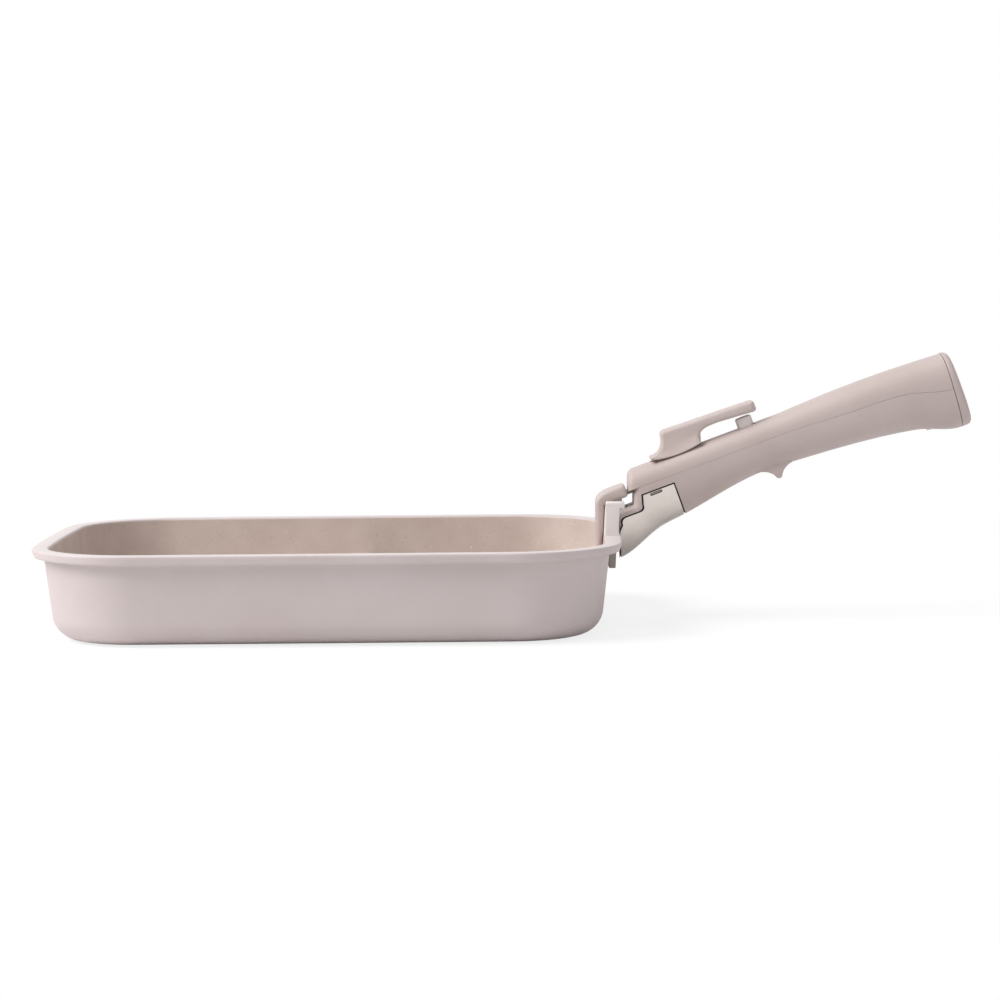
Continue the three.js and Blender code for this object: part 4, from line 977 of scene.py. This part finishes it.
# Painted shadow: the seat's groove faces take a near-black resin, standing in for the shade in the gaps
# round the flame guard.
seat_finishes = (resin, moulded("seat_shadow", srgb(40, 35, 33), srgb(50, 44, 41), 0.7))
give(lower, *seat_finishes)
for grow, depth in ((SEAT_LINE, SEAT_LINE_DEPTH), (PLAY, GUARD_SHEET + PLAY)):
    seat = tilted_plate("guard_seat", guard_points(grow))
    core = half_form("seat_core", -1, CHIN_U - 2 * PAST, GRIP_END, -depth, -CORE_DEPTH, 0)
    cut(seat, core)
    give(seat, *seat_finishes)
    for face in seat.data.polygons:
        face.material_index = SHADOWED
    cut(lower, seat)
lug_u = (GUARD_SLOT_U - GUARD_SLOT_LENGTH, GUARD_SLOT_U + GUARD_SLOT_LENGTH)
lug = half_form("lug", -1, *lug_u, -LUG_SUNK, 0, 0, 12)
lug_inset = -GUARD_SHEET - SHELL / 2
lug_core = half_form("lug_core", -1, 0, GUARD_REAR + 4 * PAST, lug_inset, -CORE_DEPTH, 0, 12)
cut(lug, lug_core)
combine(lug, tilted_plate("lug_blank", slot_points(-LUG_PLAY)), "INTERSECT")
join(lower, lug)
STRIP, STRIP_HALF, STRIP_V = 1.4, 7, -0.45
mouth_half = STRIP_HALF + RUN_GAP
mouth_low = STRIP_V - STRIP / 2 - PLAY - RUN_GAP
cut(lower, tilted_block("strip_mouth", MOUTH_U, mouth_half, (mouth_low, MOUTH_TOP)))
SHELL_SCREWS = (100, 150)
SHELL_SCREW_DEPTH = 5
BOSS_RADIUS = 3.8


def bar(name, radius, start, end):
    """A round bar between two points: a cylinder turned and set in place."""
    along = end - start
    bpy.ops.mesh.primitive_cylinder_add(vertices=40, radius=radius, depth=along.length)
    piece = just_added(name)
    piece.rotation_euler = along.to_track_quat("Z", "Y").to_euler()
    piece.location = (start + end) / 2
    bpy.ops.object.transform_apply()
    return piece


SCREW_RADIUS = 1.5 * MM
SCREW_HEAD = 2.8 * MM
SCREW_HEAD_HEIGHT = 1.6 * MM
HOLE_PLAY = 0.2 * MM
SCREW_HOLE = SCREW_RADIUS + HOLE_PLAY
for u in SHELL_SCREWS:
    low = belly(u)
    boss_foot, boss_top = at(u, 0, low + SHELL / 2), at(u, 0, parting(u) - SEAM / 2)
    join(lower, bar("boss", (BOSS_RADIUS + SHELL / 2) * MM, boss_foot, boss_top))
    sink_top = at(u, 0, low + SHELL_SCREW_DEPTH)
    cut(lower, bar("sink", SCREW_HEAD + GAP, at(u, 0, low - 2 * PAST), sink_top))
    cut(lower, bar("pilot", SCREW_HOLE, at(u, 0, low - PAST), at(u, 0, 0)))
smooth(lower, SMOOTH_ANGLE)
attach(lower, "handle")
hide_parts("lower_grip_shell")

# Flame guard: a satin stainless pressing that wraps the underside of the grip's front and keeps
# the gas flame off the resin. It lies in a shallow seat and one screw holds it.
guard = half_form("flame_guard_sheet", -1, CHIN_U, GUARD_REAR + 4 * PAST, 0, SEAM / 2, 0, 40)
core_u = (CHIN_U - 2 * PAST, GUARD_REAR + 6 * PAST)
cut(guard, half_form("guard_core", -1, *core_u, -GUARD_SHEET, -CORE_DEPTH, 0, 40))
combine(guard, tilted_plate("guard_blank", guard_points(0)), "INTERSECT")
cut(guard, tilted_plate("guard_slot", slot_points(0)))
guard_slope = math.atan(belly(GUARD_SCREW_U + 0.5) - belly(GUARD_SCREW_U - 0.5))
below_guard = at(math.sin(guard_slope), 0, -math.cos(guard_slope)) - at(0, 0, 0)
guard_mark = at(GUARD_SCREW_U, 0, belly(GUARD_SCREW_U))
hole_reach = below_guard * 3 * PAST
guard_hole = bar("guard_hole", SCREW_HEAD, guard_mark + hole_reach, guard_mark - hole_reach)
cut(guard, guard_hole)
dress(guard, steel("satin_steel", srgb(226, 217, 211), srgb(212, 203, 197), 0.3, 0.42, 0.15))
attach(guard, "handle")
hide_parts("flame_guard")

# End cap: a moulded resin plug that closes the heel of the grip, behind a fine groove. A spigot
# inside the shells holds it.
CAP_THICKNESS, CAP_ROUND, SPIGOT, CAP_PROUD = 3.5, 2.4, 4, 0.2


def whole_ring(u, grow, place, lean=0.0, proud=0.0):
    """The grip's whole section at one u, moved to another; its top can stand a little proud."""
    move = at(place, 0, 0) - at(u, 0, 0)
    lift = at(0, 0, proud) - at(0, 0, 0)
    upper_half = half_ring(u, 1, grow, 0, lean, 0)[1:-1]
    lower_half = half_ring(u, -1, grow, 0, lean, 0)[2:-2]
    heights = [(2 * i / (len(upper_half) - 1) - 1) ** 2 for i in range(len(upper_half))]
    raised = [point + lift * (1 - height) for point, height in zip(upper_half, heights)]
    return [point + move for point in raised + lower_half]


cap_start = GRIP_END + PLAY
cap_end = cap_start + CAP_THICKNESS
inset = -SHELL - PLAY
cap_rings = [whole_ring(u, inset, u) for u in (GRIP_END - SPIGOT, GRIP_END - SPIGOT / 2)]
cap_rings.append(whole_ring(GRIP_END, inset, cap_start, HEEL_LEAN))
cap_rings.append(whole_ring(GRIP_END, -EDGE_BREAK, cap_start, HEEL_LEAN, CAP_PROUD))
cap_rings.append(whole_ring(GRIP_END, 0, cap_start + EDGE_BREAK, HEEL_LEAN, CAP_PROUD))
for drawn, short in round_over(CAP_ROUND, 7):
    cap_rings.append(whole_ring(GRIP_END, -drawn, cap_end - short, 0, CAP_PROUD))
cap = skin("end_plug", cap_rings)
dress(cap, resin)
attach(cap, "handle")
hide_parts("end_cap")

# Fixed jaw: a heat-proof resin pad that lies against the outside of the pan's wall, behind the
# notch in the rim. Two screws hold it to the grip's chin.
FIXED_HALF = 11 * MM
FIXED_TIP = RIM_TOP - 16.7 * MM
FIXED_STEP = RIM_TOP - 6.5 * MM
FIXED_TOP = RIM_TOP + 8 * MM
FIXED_THICKNESS = 3.4 * MM
FIXED_SCREW_Z = RIM_TOP + MM
FIXED_SCREW_Y = 6 * MM
JAW_EDGE = 0.5 * MM
FIXED_ROUND, TIP_EASE = MM, 0.6 * MM
HOLE_REACH = 10 * MM
fixed_back = CHIN_X * MM - GAP


def fixed_x(z):
    return tab_x(z) + WALL + RUN_GAP * MM


tip_x = fixed_x(FIXED_TIP)
tip_back = (tip_x + FIXED_THICKNESS, FIXED_TIP)
fixed_outline = [
    *round_corner((tip_x, FIXED_TIP), (0, 1), (1, 0), FIXED_ROUND, 5),
    *round_corner(tip_back, (-1, 0), (0.05, 1), TIP_EASE, 5),
    (fixed_x(FIXED_STEP) + FIXED_THICKNESS, FIXED_STEP),
    (fixed_back, FIXED_STEP + MM),
    (fixed_back, FIXED_TOP),
    (fixed_x(FIXED_TOP), FIXED_TOP),
]
fixed = side_plate("fixed_jaw_pad", fixed_outline, -FIXED_HALF, FIXED_HALF, JAW_EDGE)
fixed_seat_x = fixed_x(FIXED_SCREW_Z) + GAP + SCREW_HEAD_HEIGHT
for y in (-FIXED_SCREW_Y, FIXED_SCREW_Y):
    seat_point = Vector((fixed_seat_x, y, FIXED_SCREW_Z))
    inward = Vector((HOLE_REACH, 0, 0))
    cut(fixed, bar("head_hole", SCREW_HEAD + GAP, seat_point - inward, seat_point))
    cut(fixed, bar("shank_hole", SCREW_HOLE, seat_point - inward, seat_point + inward))
dress(fixed, moulded("jaw_resin", srgb(166, 158, 152), srgb(176, 168, 162), 0.6))
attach(fixed, "handle")
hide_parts("fixed_jaw")

# Hook strip: a stainless strip that runs in the handle's channel and turns down over the tab.
# It is punched with a long slot for the latch and two holes for the thumb slide's screws.
STRIP_END = 81
LEG_FOOT = RIM_TOP - 0.5 * MM
LEG_DEPTH = 4 * MM
PIN_RADIUS = 1.6
HOOK_TURN = 2.5
LEG_SHIFT = 0.4 * MM
STRIP_EDGE = 0.2 * MM
CUT_V = (-5, 5)
SLIDE_SCREWS = (31.5, 38)
leg_x = tab_x(NOTCH_TOP) - GAP - LEG_DEPTH / 2 - LEG_SHIFT


def hook_outline(grow):
    half = STRIP / 2 + grow
    left, right = leg_x - half * MM, leg_x + half * MM
    outer, inner = on_line(STRIP_V + half, left), on_line(STRIP_V - half, right)
    inner_turn = HOOK_TURN / 3 * MM
    inner_start, inner_end = (right, inner[1] - inner_turn), on_line(STRIP_V - half, right + inner_turn)
    outer_turn = on_line(STRIP_V + half, left + HOOK_TURN * MM)
    rear = tilted_outline([(STRIP_END + grow, STRIP_V - half), (STRIP_END + grow, STRIP_V + half)])
    foot = LEG_FOOT - grow * MM
    return [
        (left, foot),
        (right, foot),
        inner_start,
        *curve(inner_start, inner, inner_end, steps=6),
        *rear,
        outer_turn,
        *curve(outer_turn, outer, (left, outer[1] - HOOK_TURN * MM), steps=8),
    ]


hook = side_plate("hook_strip", hook_outline(0), -STRIP_HALF * MM, STRIP_HALF * MM, STRIP_EDGE)
latch_half = PIN_RADIUS + RUN_GAP
latch_u = (BUTTON_U - latch_half, BUTTON_U + TRAVEL + latch_half)
cut(hook, tilted_block("latch_slot", latch_u, latch_half, CUT_V))
for u in SLIDE_SCREWS:
    cut(hook, bar("screw_hole", SCREW_HOLE, *(at(u, 0, v) for v in CUT_V)))
dress(hook, steel("strip_steel", srgb(128, 121, 110), srgb(108, 101, 91), 0.34, 0.5, 0.2))
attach(hook, "clamp")
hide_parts("hook_plate")

# Jaw sleeve: grip resin moulded round the end of the hook strip, so that only resin touches the
# coated wall. It bears on the inside of the tab and is soft at every edge.
JAW_HALF = 10 * MM
JAW_ROUND = 1.5 * MM
TIP_ROUND = 0.9 * MM
ARM_TOP, ARM_BOTTOM, ARM_START, ARM_END, ARM_ROUND = 3.9, -1.9, -8, 0.1, 1.6
JAW_TIP = RIM_TOP - 9 * MM
SHOULDER_DROP = 4.4 * MM
jaw_front = tab_x(NOTCH_TOP) - GAP - LEG_DEPTH


def jaw_back(z):
    return (tab_x(z) if z > RIM_TOP else wall_x(z)) - GAP


def bar_ring(inner, outer, half, inset=0.0):
    """A rounded rectangle that stands on a line in X and Z and reaches out to both sides of it."""
    inner, outer = Vector((inner[0], 0, inner[1])), Vector((outer[0], 0, outer[1]))
    depth = (outer - inner).length / 2 - inset
    wide = half - inset
    across = (outer - inner).normalized()
    rounding = min(JAW_ROUND, 0.96 * depth)
    ring = []
    for turn, (side_y, side_d) in enumerate(((1, 1), (-1, 1), (-1, -1), (1, -1))):
        for a in quarter(5):
            y = side_y * (wide - rounding) + rounding * math.cos(a + turn * math.pi / 2)
            d = side_d * (depth - rounding) + rounding * math.sin(a + turn * math.pi / 2)
            ring.append((inner + outer) / 2 + across * d + Vector((0, y, 0)))
    return ring


def arm_pair(u):
    return tilted_outline([(u, ARM_BOTTOM), (u, ARM_TOP)])


def jaw_level(z):
    return (jaw_back(z), z), (jaw_front, z)


elbow = on_line(ARM_BOTTOM, jaw_back(NOTCH_TOP))
shoulder = on_line(ARM_TOP, jaw_front)
leg_top = (jaw_level(NOTCH_TOP)[0], (jaw_front, shoulder[1] - SHOULDER_DROP))
arm_start = arm_pair(ARM_START)
inner_bend = curve(leg_top[0], elbow, arm_start[0], steps=12)
outer_bend = curve(leg_top[1], shoulder, arm_start[1], steps=12)
jaw_rings = []
for rise, drawn in round_over(TIP_ROUND, 5):
    jaw_rings.append(bar_ring(*jaw_level(JAW_TIP + rise), JAW_HALF, drawn))
for z in stations(JAW_TIP + 2 * TIP_ROUND, RIM_TOP, 4):
    jaw_rings.append(bar_ring(*jaw_level(z), JAW_HALF))
jaw_rings.append(bar_ring(*leg_top, JAW_HALF))
jaw_rings += [bar_ring(inner, outer, JAW_HALF) for inner, outer in zip(inner_bend, outer_bend)]
for back, drawn in reversed(round_over(ARM_ROUND, 5)):
    jaw_rings.append(bar_ring(*arm_pair(ARM_END - back), JAW_HALF, drawn * MM))
jaw = skin("jaw_sleeve", jaw_rings)
room_half = (STRIP_HALF + PLAY) * MM
cut(jaw, side_plate("jaw_room", hook_outline(PLAY), -room_half, room_half))
dress(jaw, resin)
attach(jaw, "clamp")
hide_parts("jaw_cover")

# Thumb slide: a moulded resin lever. Its foot saddles over the grip, its stem goes down through
# the slot to the carriage, and its tail reaches back over the lock button.
FOOT_FRONT, FOOT_REAR, FOOT_LOW, FOOT_HIGH, FOOT_BACK = 16.2, 41.6, 10.2, 11.4, 10
FOOT_DIP, FOOT_FLANGE, FOOT_HALF, FOOT_EASE, FOOT_SHORT, FOOT_SLANT = 6.9, 1.4, 9, 0.5, 0.2, 1.5
FOOT_RISE, FLARE_U, FLARE_BACK, WAIST_INSET = 4.2, 20.6, 3, 0.15
THUMB_TOP, THUMB_NOSE, THUMB_HALF, THUMB_ROUND, THUMB_EASE = 21.3, 24.5, 7.5, 2.3, 1.5
NOSE_LEAN, NOSE_LOW, NOSE_PULL, SIDE_LIFT = 0.5, 15.6, 0.7, 0.3
TAIL_END, TAIL_TOP, TAIL_BOTTOM, TAIL_ROUND, ARCH_TOP, ARCH_REACH = 71.7, 20.1, 14.9, 1.6, 16.1, 11.4
CARRIAGE_TOP = GRIP_TOP - SHELL - PLAY
foot_end = (FOOT_REAR, FOOT_BACK)
arch_end = (FOOT_REAR + ARCH_REACH, ARCH_TOP)


def foot_line(u):
    """The height of the foot's hollow underside."""
    t = (u - FOOT_FRONT) / (FOOT_REAR - FOOT_FRONT)
    return (1 - t) ** 2 * FOOT_LOW + 2 * t * (1 - t) * FOOT_DIP + t * t * FOOT_BACK


nose_curve = curve(
    (THUMB_NOSE, THUMB_TOP - THUMB_ROUND),
    (THUMB_NOSE - NOSE_LEAN, NOSE_LOW),
    (FOOT_FRONT * (1 - NOSE_PULL) + THUMB_NOSE * NOSE_PULL, FOOT_HIGH),
    (FOOT_FRONT, FOOT_HIGH),
    steps=24,
)
arch_start = (FOOT_REAR + ARCH_REACH / 3, ARCH_TOP)
slide_points = [
    *[(u, foot_line(u) + SIDE_LIFT) for u in stations(FLARE_U, FOOT_REAR, 6)],
    *curve(foot_end, (FOOT_REAR, ARCH_TOP), arch_start, arch_end, steps=16)[4:],
    (TAIL_END - TAIL_ROUND, TAIL_BOTTOM),
    *round_corner((TAIL_END, TAIL_BOTTOM), (-1, 0), (0, 1), TAIL_ROUND, 6),
    (TAIL_END, TAIL_TOP - TAIL_ROUND),
    *round_corner((TAIL_END, TAIL_TOP), (0, -1), (-1, 0), TAIL_ROUND, 6),
    (THUMB_NOSE + THUMB_ROUND, THUMB_TOP),
    *round_corner((THUMB_NOSE, THUMB_TOP), (1, 0), (0, -1), THUMB_ROUND, 8),
    *[point for point in nose_curve[3::3] if point[0] > FLARE_U + 0.5],
]
foot_points = [
    *[(u, foot_line(u)) for u in stations(FOOT_FRONT, FOOT_REAR - FOOT_SHORT, 18)],
    (FOOT_REAR - FOOT_SHORT, FOOT_BACK + FOOT_FLANGE),
    (FOOT_REAR - FOOT_SLANT, FOOT_BACK + FOOT_RISE),
    (FLARE_U + FLARE_BACK, foot_line(FLARE_U) + FOOT_RISE),
    *[point for point in nose_curve if point[0] < FLARE_U + 1],
]
slide = tilted_plate("thumb_lever", slide_points, THUMB_HALF, THUMB_EASE)
foot = tilted_plate("foot", foot_points, FOOT_HALF, FOOT_EASE)
start_editing(foot)
lengthwise = [(at(u, 0, 0), (1, 0, 0)) for u in stations(FOOT_FRONT + 1, FOOT_REAR - 1, 16)]
upward = [(at(0, 0, v), (0, 0, 1)) for v in stations(FOOT_DIP + FOOT_FLANGE, FOOT_LOW + FOOT_RISE, 14)]
for point, way in lengthwise + upward:
    bpy.ops.mesh.select_all(action="SELECT")
    bpy.ops.mesh.bisect(plane_co=point, plane_no=at(*way) - at(0, 0, 0))
done_editing()
waist = THUMB_HALF - WAIST_INSET
for vertex in foot.data.vertices:
    u, v = along_and_up(vertex.co)
    share = share_of(v - foot_line(u), FOOT_FLANGE, FOOT_RISE - 1)
    vertex.co.y *= (waist + (FOOT_HALF - waist) * (1 - share) ** 2) / FOOT_HALF
join(slide, foot)
cut(slide, half_form("saddle", 1, 0, WAIST_U, PLAY, -2 * CORE_DEPTH, 0))
stem_v = (CARRIAGE_TOP + PLAY, GRIP_TOP + 2 * PAST)
join(slide, tilted_block("stem", (STEM_FRONT, STEM_REAR), STEM_HALF, stem_v))
dress(slide, resin)
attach(slide, "clamp")
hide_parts("thumb_slide")

# Lock button: a small resin post that rises through the grip under the lever's tail. A flange
# keeps it in, and the latch pin is pressed into its bore.
BUTTON_TOP, BUTTON_FLANGE, BUTTON_FLANGE_TOP, BUTTON_ROUND = 14, 1.5, 5.7, 0.9
BUTTON_SQUARENESS, FLANGE_OUT, FLANGE_EASE, BORE_ROOF = 3.2, 1.4, 0.3, 2.5
flange_bottom = BUTTON_FLANGE_TOP - BUTTON_FLANGE


def post_ring(v, inset):
    """A squarish oval about the button's middle."""
    ring = []
    for turn in full_turn(48):
        sides = (math.cos(turn), math.sin(turn))
        c, s = (math.copysign(abs(f) ** (2 / BUTTON_SQUARENESS), f) for f in sides)
        ring.append(at(BUTTON_U + (BUTTON_LENGTH / 2 - inset) * c, (BUTTON_HALF - inset) * s, v))
    return ring


button_rings = [post_ring(flange_bottom + 2 * FLANGE_EASE, 0)]
for drawn, short in round_over(BUTTON_ROUND, 5):
    button_rings.append(post_ring(BUTTON_TOP - short, drawn))
button = skin("lock_post", button_rings)


def eased_block(name, u_range, half, v_range, easing):
    """A block in the handle's frame with every edge bevelled round."""
    piece = tilted_block(name, u_range, half, v_range)
    start_editing(piece)
    bpy.ops.mesh.select_mode(type="EDGE")
    bpy.ops.mesh.select_all(action="SELECT")
    bpy.ops.mesh.bevel(offset=easing * MM, segments=4, profile=0.5, affect="EDGES")
    done_editing()
    return piece


button_u = (BUTTON_U - BUTTON_LENGTH / 2, BUTTON_U + BUTTON_LENGTH / 2)
flange_u = (button_u[0] - FLANGE_OUT, button_u[1] + FLANGE_OUT)
flange_v = (flange_bottom, BUTTON_FLANGE_TOP)
flange = eased_block("flange", flange_u, BUTTON_HALF + FLANGE_OUT, flange_v, FLANGE_EASE)
join(button, flange)
bore_foot, bore_top = at(BUTTON_U, 0, flange_bottom - PAST), at(BUTTON_U, 0, BUTTON_TOP - BORE_ROOF)
cut(button, bar("pin_bore", PIN_RADIUS * MM + HOLE_PLAY, bore_foot, bore_top))
# The button's resin is paler than the grip's, and made paler still as painted light, standing in for the
# light that the lever's tail keeps off it.
dress(button, moulded("button_resin_painted_light", srgb(236, 226, 223), srgb(242, 233, 230), 0.5))
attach(button, "button")
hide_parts("lock_button")

# Screws: zinc-plated steel with a cross recess, all pan heads but for the guard's sunk one, made by
# one function. They hold the shells, the flame guard, the fixed jaw and the lever.
LONG_SCREW, JAW_SCREW, GUARD_SCREW, SUNK_EDGE = 15 * MM, 8 * MM, 5 * MM, 0.1 * MM
plated_tones = (srgb(186, 184, 178), srgb(170, 167, 160))
screw_steel = steel("plated_steel", *plated_tones, 0.25, 0.4, 0.2, 300.0, 900.0)


def pan_head(name, seat, outward, length, body, node_name, sunk=False):
    """A screw on its seat: a profile taken round its axis, with a cross punched in its head."""
    shank = [(0.3 * SCREW_RADIUS, -length), (SCREW_RADIUS, SCREW_RADIUS - length)]
    if sunk:
        top = 0
        head = [(SCREW_RADIUS, -SCREW_HEAD_HEIGHT), (SCREW_HEAD, -SUNK_EDGE), (SCREW_HEAD - SUNK_EDGE, 0)]
    else:
        top = SCREW_HEAD_HEIGHT
        dome = [(SCREW_HEAD * math.cos(a), top * (0.45 + 0.55 * math.sin(a))) for a in quarter(7)]
        head = [(SCREW_RADIUS, 0), (SCREW_HEAD, 0), *dome[:-1], (0.2 * SCREW_HEAD, top)]
    rings = [
        [Vector((radius * math.cos(a), radius * math.sin(a), z)) for a in full_turn(48)]
        for radius, z in shank + head
    ]
    piece = skin(name, rings)
    arm, blade, depth = 0.55 * SCREW_HEAD, 0.14 * SCREW_HEAD, SCREW_HEAD_HEIGHT / 2
    for wide, narrow in ((arm, blade), (blade, arm)):
        scale = (2 * wide, 2 * narrow, 2 * depth)
        bpy.ops.mesh.primitive_cube_add(size=1, scale=scale, location=(0, 0, top))
        cut(piece, bpy.context.object)
    work_on(piece)
    piece.rotation_euler = outward.to_track_quat("Z", "Y").to_euler()
    piece.location = seat
    bpy.ops.object.transform_apply()
    dress(piece, screw_steel)
    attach(piece, body)
    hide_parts(node_name)


square = at(0, 0, 1) - at(0, 0, 0)
for end, u in zip(("front", "rear"), SHELL_SCREWS):
    seat_point = at(u, 0, belly(u) + SHELL_SCREW_DEPTH - PLAY)
    pan_head(f"shell_bolt_{end}", seat_point, -square, LONG_SCREW, "handle", f"shell_screw_{end}")
for end, u in zip(("front", "rear"), SLIDE_SCREWS):
    seat_point = at(u, 0, STRIP_V - STRIP / 2 - PLAY)
    pan_head(f"slide_bolt_{end}", seat_point, -square, LONG_SCREW, "clamp", f"slide_screw_{end}")
for side, y in (("near", -FIXED_SCREW_Y), ("far", FIXED_SCREW_Y)):
    seat_point = Vector((fixed_seat_x - GAP, y, FIXED_SCREW_Z))
    forward = Vector((-1, 0, 0))
    pan_head(f"jaw_bolt_{side}", seat_point, forward, JAW_SCREW, "handle", f"fixed_jaw_screw_{side}")
seat_point = guard_mark - below_guard * PLAY
pan_head("guard_bolt", seat_point, below_guard, GUARD_SCREW, "handle", "guard_screw", sunk=True)

# Works inside the grip: a folded steel channel, the resin carriage, the turned latch pin and the
# channel's sunk screws. They stay as the frame has them and take their own finishes.
carriage_resin = moulded("carriage_resin", srgb(132, 126, 121), srgb(142, 136, 131), 0.55)
channel_steel = steel("channel_steel", srgb(178, 177, 173), srgb(160, 158, 153), 0.3, 0.45, 0.2)
for name, finish in (
    ("slide_channel", channel_steel),
    ("slide_carriage", carriage_resin),
    ("latch_pin", screw_steel),
    ("channel_screw_front", screw_steel),
    ("channel_screw_rear", screw_steel),
):
    inner_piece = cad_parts[name]
    inner_piece.data.materials.clear()
    give(inner_piece, finish)

# Springs: two coils of hard-drawn wire. One pushes the lever back, which draws the jaw shut, and
# the other pushes the lock button up.
WIRE, WIRE_ANGLE = 0.6, 60
SPRING_V, PIN_COLLAR, PRESS = 4.3, 1.6, 2.2
wire_tones = (srgb(196, 195, 190), srgb(176, 174, 168))
spring_steel = steel("spring_wire", *wire_tones, 0.22, 0.34, 0.1, 600.0, 600.0)


def coil(name, radius, turns, foot, head, node_name):
    """One unbroken tube wound about the line from foot to head."""
    along = head - foot
    length = along.length - WIRE * MM
    axis = along.normalized()
    side = axis.orthogonal().normalized()
    other = axis.cross(side)
    rings = []
    count = 28 * turns
    for i in range(count + 1):
        turn = 2 * math.pi * turns * i / count
        out = side * math.cos(turn) + other * math.sin(turn)
        centre = foot + axis * (WIRE / 2 * MM + length * i / count) + out * radius * MM
        around = [out * math.cos(a) + axis * math.sin(a) for a in full_turn(12)]
        rings.append([centre + way * WIRE / 2 * MM for way in around])
    piece = skin(name, rings)
    dress(piece, spring_steel, WIRE_ANGLE)
    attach(piece, "handle")
    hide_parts(node_name)
    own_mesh(piece)


spring_front, spring_rear = CAVITY_FRONT + PLAY, STEM_FRONT - PLAY
foot, head = at(spring_front, 0, SPRING_V), at(spring_rear, 0, SPRING_V)
coil("clamp_coil", 2, 10, foot, head, "clamp_spring")
lock_seat = belly(BUTTON_U) + SHELL + PLAY
lock_head = STRIP_V - STRIP / 2 - PLAY - PIN_COLLAR - PLAY
foot, head = at(BUTTON_U, 0, lock_seat), at(BUTTON_U, 0, lock_head)
coil("lock_coil", 2.4, 5, foot, head, "lock_spring")

# Studio: a pale floor that takes a soft shadow near the pan and fades to white away from it, three
# soft boxes, and the camera at the photograph's place and lens.
FLOOR_SIZE, FLOOR_DROP = 12, 0.4 * MM
FLOOR_WHITE, FLOOR_DARK, NEAR_TONE, NEAR_GLOW, FADE = 0.88, 0.92, 0.24, 0.8, (0.25, 0.7)
WORLD_LIGHT = 0.25


def grey(tone):
    return (tone, tone, tone, 1)


bpy.ops.mesh.primitive_plane_add(size=FLOOR_SIZE, location=(0, 0, -FLOOR_DROP))
floor = just_added("studio_floor")
ground, tree, shader = material("pale_floor")
tree.nodes.remove(shader)
ray = node(tree, "LightPath").outputs
seen = maths(tree, "MAXIMUM", ray["Is Camera Ray"], ray["Is Transmission Ray"])
floor_tone = tint(tree, ray["Is Glossy Ray"], grey(FLOOR_WHITE), grey(FLOOR_DARK))
plain = node(tree, "BsdfDiffuse", {}, {"Color": floor_tone})
faint = node(tree, "BsdfDiffuse", {}, {"Color": grey(NEAR_TONE)})
glow = node(tree, "Emission", {}, {"Color": grey(1), "Strength": NEAR_GLOW})
shaded = node(tree, "AddShader", {}, {0: faint.outputs[0], 1: glow.outputs[0]})
white = node(tree, "Emission", {}, {"Color": grey(1), "Strength": 1.0})
place = node(tree, "TexCoord").outputs["Object"]
away = node(tree, "VectorMath", {"operation": "LENGTH"}, {0: place}).outputs["Value"]
faded = mapped(tree, away, *FADE, 0, 1)
bright = node(tree, "MixShader", {}, {0: faded, 1: shaded.outputs[0], 2: white.outputs[0]})
mixed = node(tree, "MixShader", {}, {0: seen, 1: plain.outputs[0], 2: bright.outputs[0]})
tree.links.new(mixed.outputs[0], tree.nodes["Material Output"].inputs["Surface"])
give(floor, ground)

world = bpy.data.worlds.new("studio")
bpy.context.scene.world = world
world.use_nodes = True
tree = world.node_tree
ray = node(tree, "LightPath").outputs
seen = maths(tree, "MAXIMUM", ray["Is Camera Ray"], ray["Is Glossy Ray"])
seen = maths(tree, "MAXIMUM", seen, ray["Is Transmission Ray"])
level_light = mapped(tree, seen, 0, 1, WORLD_LIGHT, 1.0)
back = tree.nodes["Background"]
back.inputs["Color"].default_value = grey(1)
tree.links.new(level_light, back.inputs["Strength"])


def soft_lamp(name, place, aim, size, watts):
    """A square soft box that looks at a point."""
    bpy.ops.object.light_add(type="AREA", location=place)
    lamp = just_added(name)
    lamp.data.size = size
    lamp.data.energy = watts
    turn = (Vector(aim) - Vector(place)).to_track_quat("-Z", "Y")
    lamp.rotation_euler = turn.to_euler()


soft_lamp("key_box", (-1.5, -0.6, 1.5), (0.05, 0, 0.04), 1.5, 54)
soft_lamp("top_box", (0.3, 0.3, 1.9), (0.1, 0, 0.05), 1.4, 5)
soft_lamp("fill_box", (1.7, -0.8, 0.6), (0.1, 0, 0.05), 1.2, 6)

CAMERA_PLACE = Vector((88.0, -1373.0, 169.8)) * MM
YAW, PITCH, ROLL = (math.radians(a) for a in (-0.33, 4.65, -0.55))
ahead = Vector((math.sin(YAW) * math.cos(PITCH), math.cos(YAW) * math.cos(PITCH), -math.sin(PITCH)))
level = Vector((math.cos(YAW), -math.sin(YAW), 0))
upright = level.cross(ahead)
across = level * math.cos(ROLL) + upright * math.sin(ROLL)
over = upright * math.cos(ROLL) - level * math.sin(ROLL)
bpy.ops.object.camera_add()
camera = bpy.context.object
camera.matrix_world = Matrix(
    (
        (across.x, over.x, -ahead.x, CAMERA_PLACE.x),
        (across.y, over.y, -ahead.y, CAMERA_PLACE.y),
        (across.z, over.z, -ahead.z, CAMERA_PLACE.z),
        (0, 0, 0, 1),
    )
)
camera.data.sensor_width = 36
camera.data.lens = 103.14
camera.data.clip_end = 30
bpy.context.scene.camera = camera
bpy.context.scene.view_settings.view_transform = "Standard"
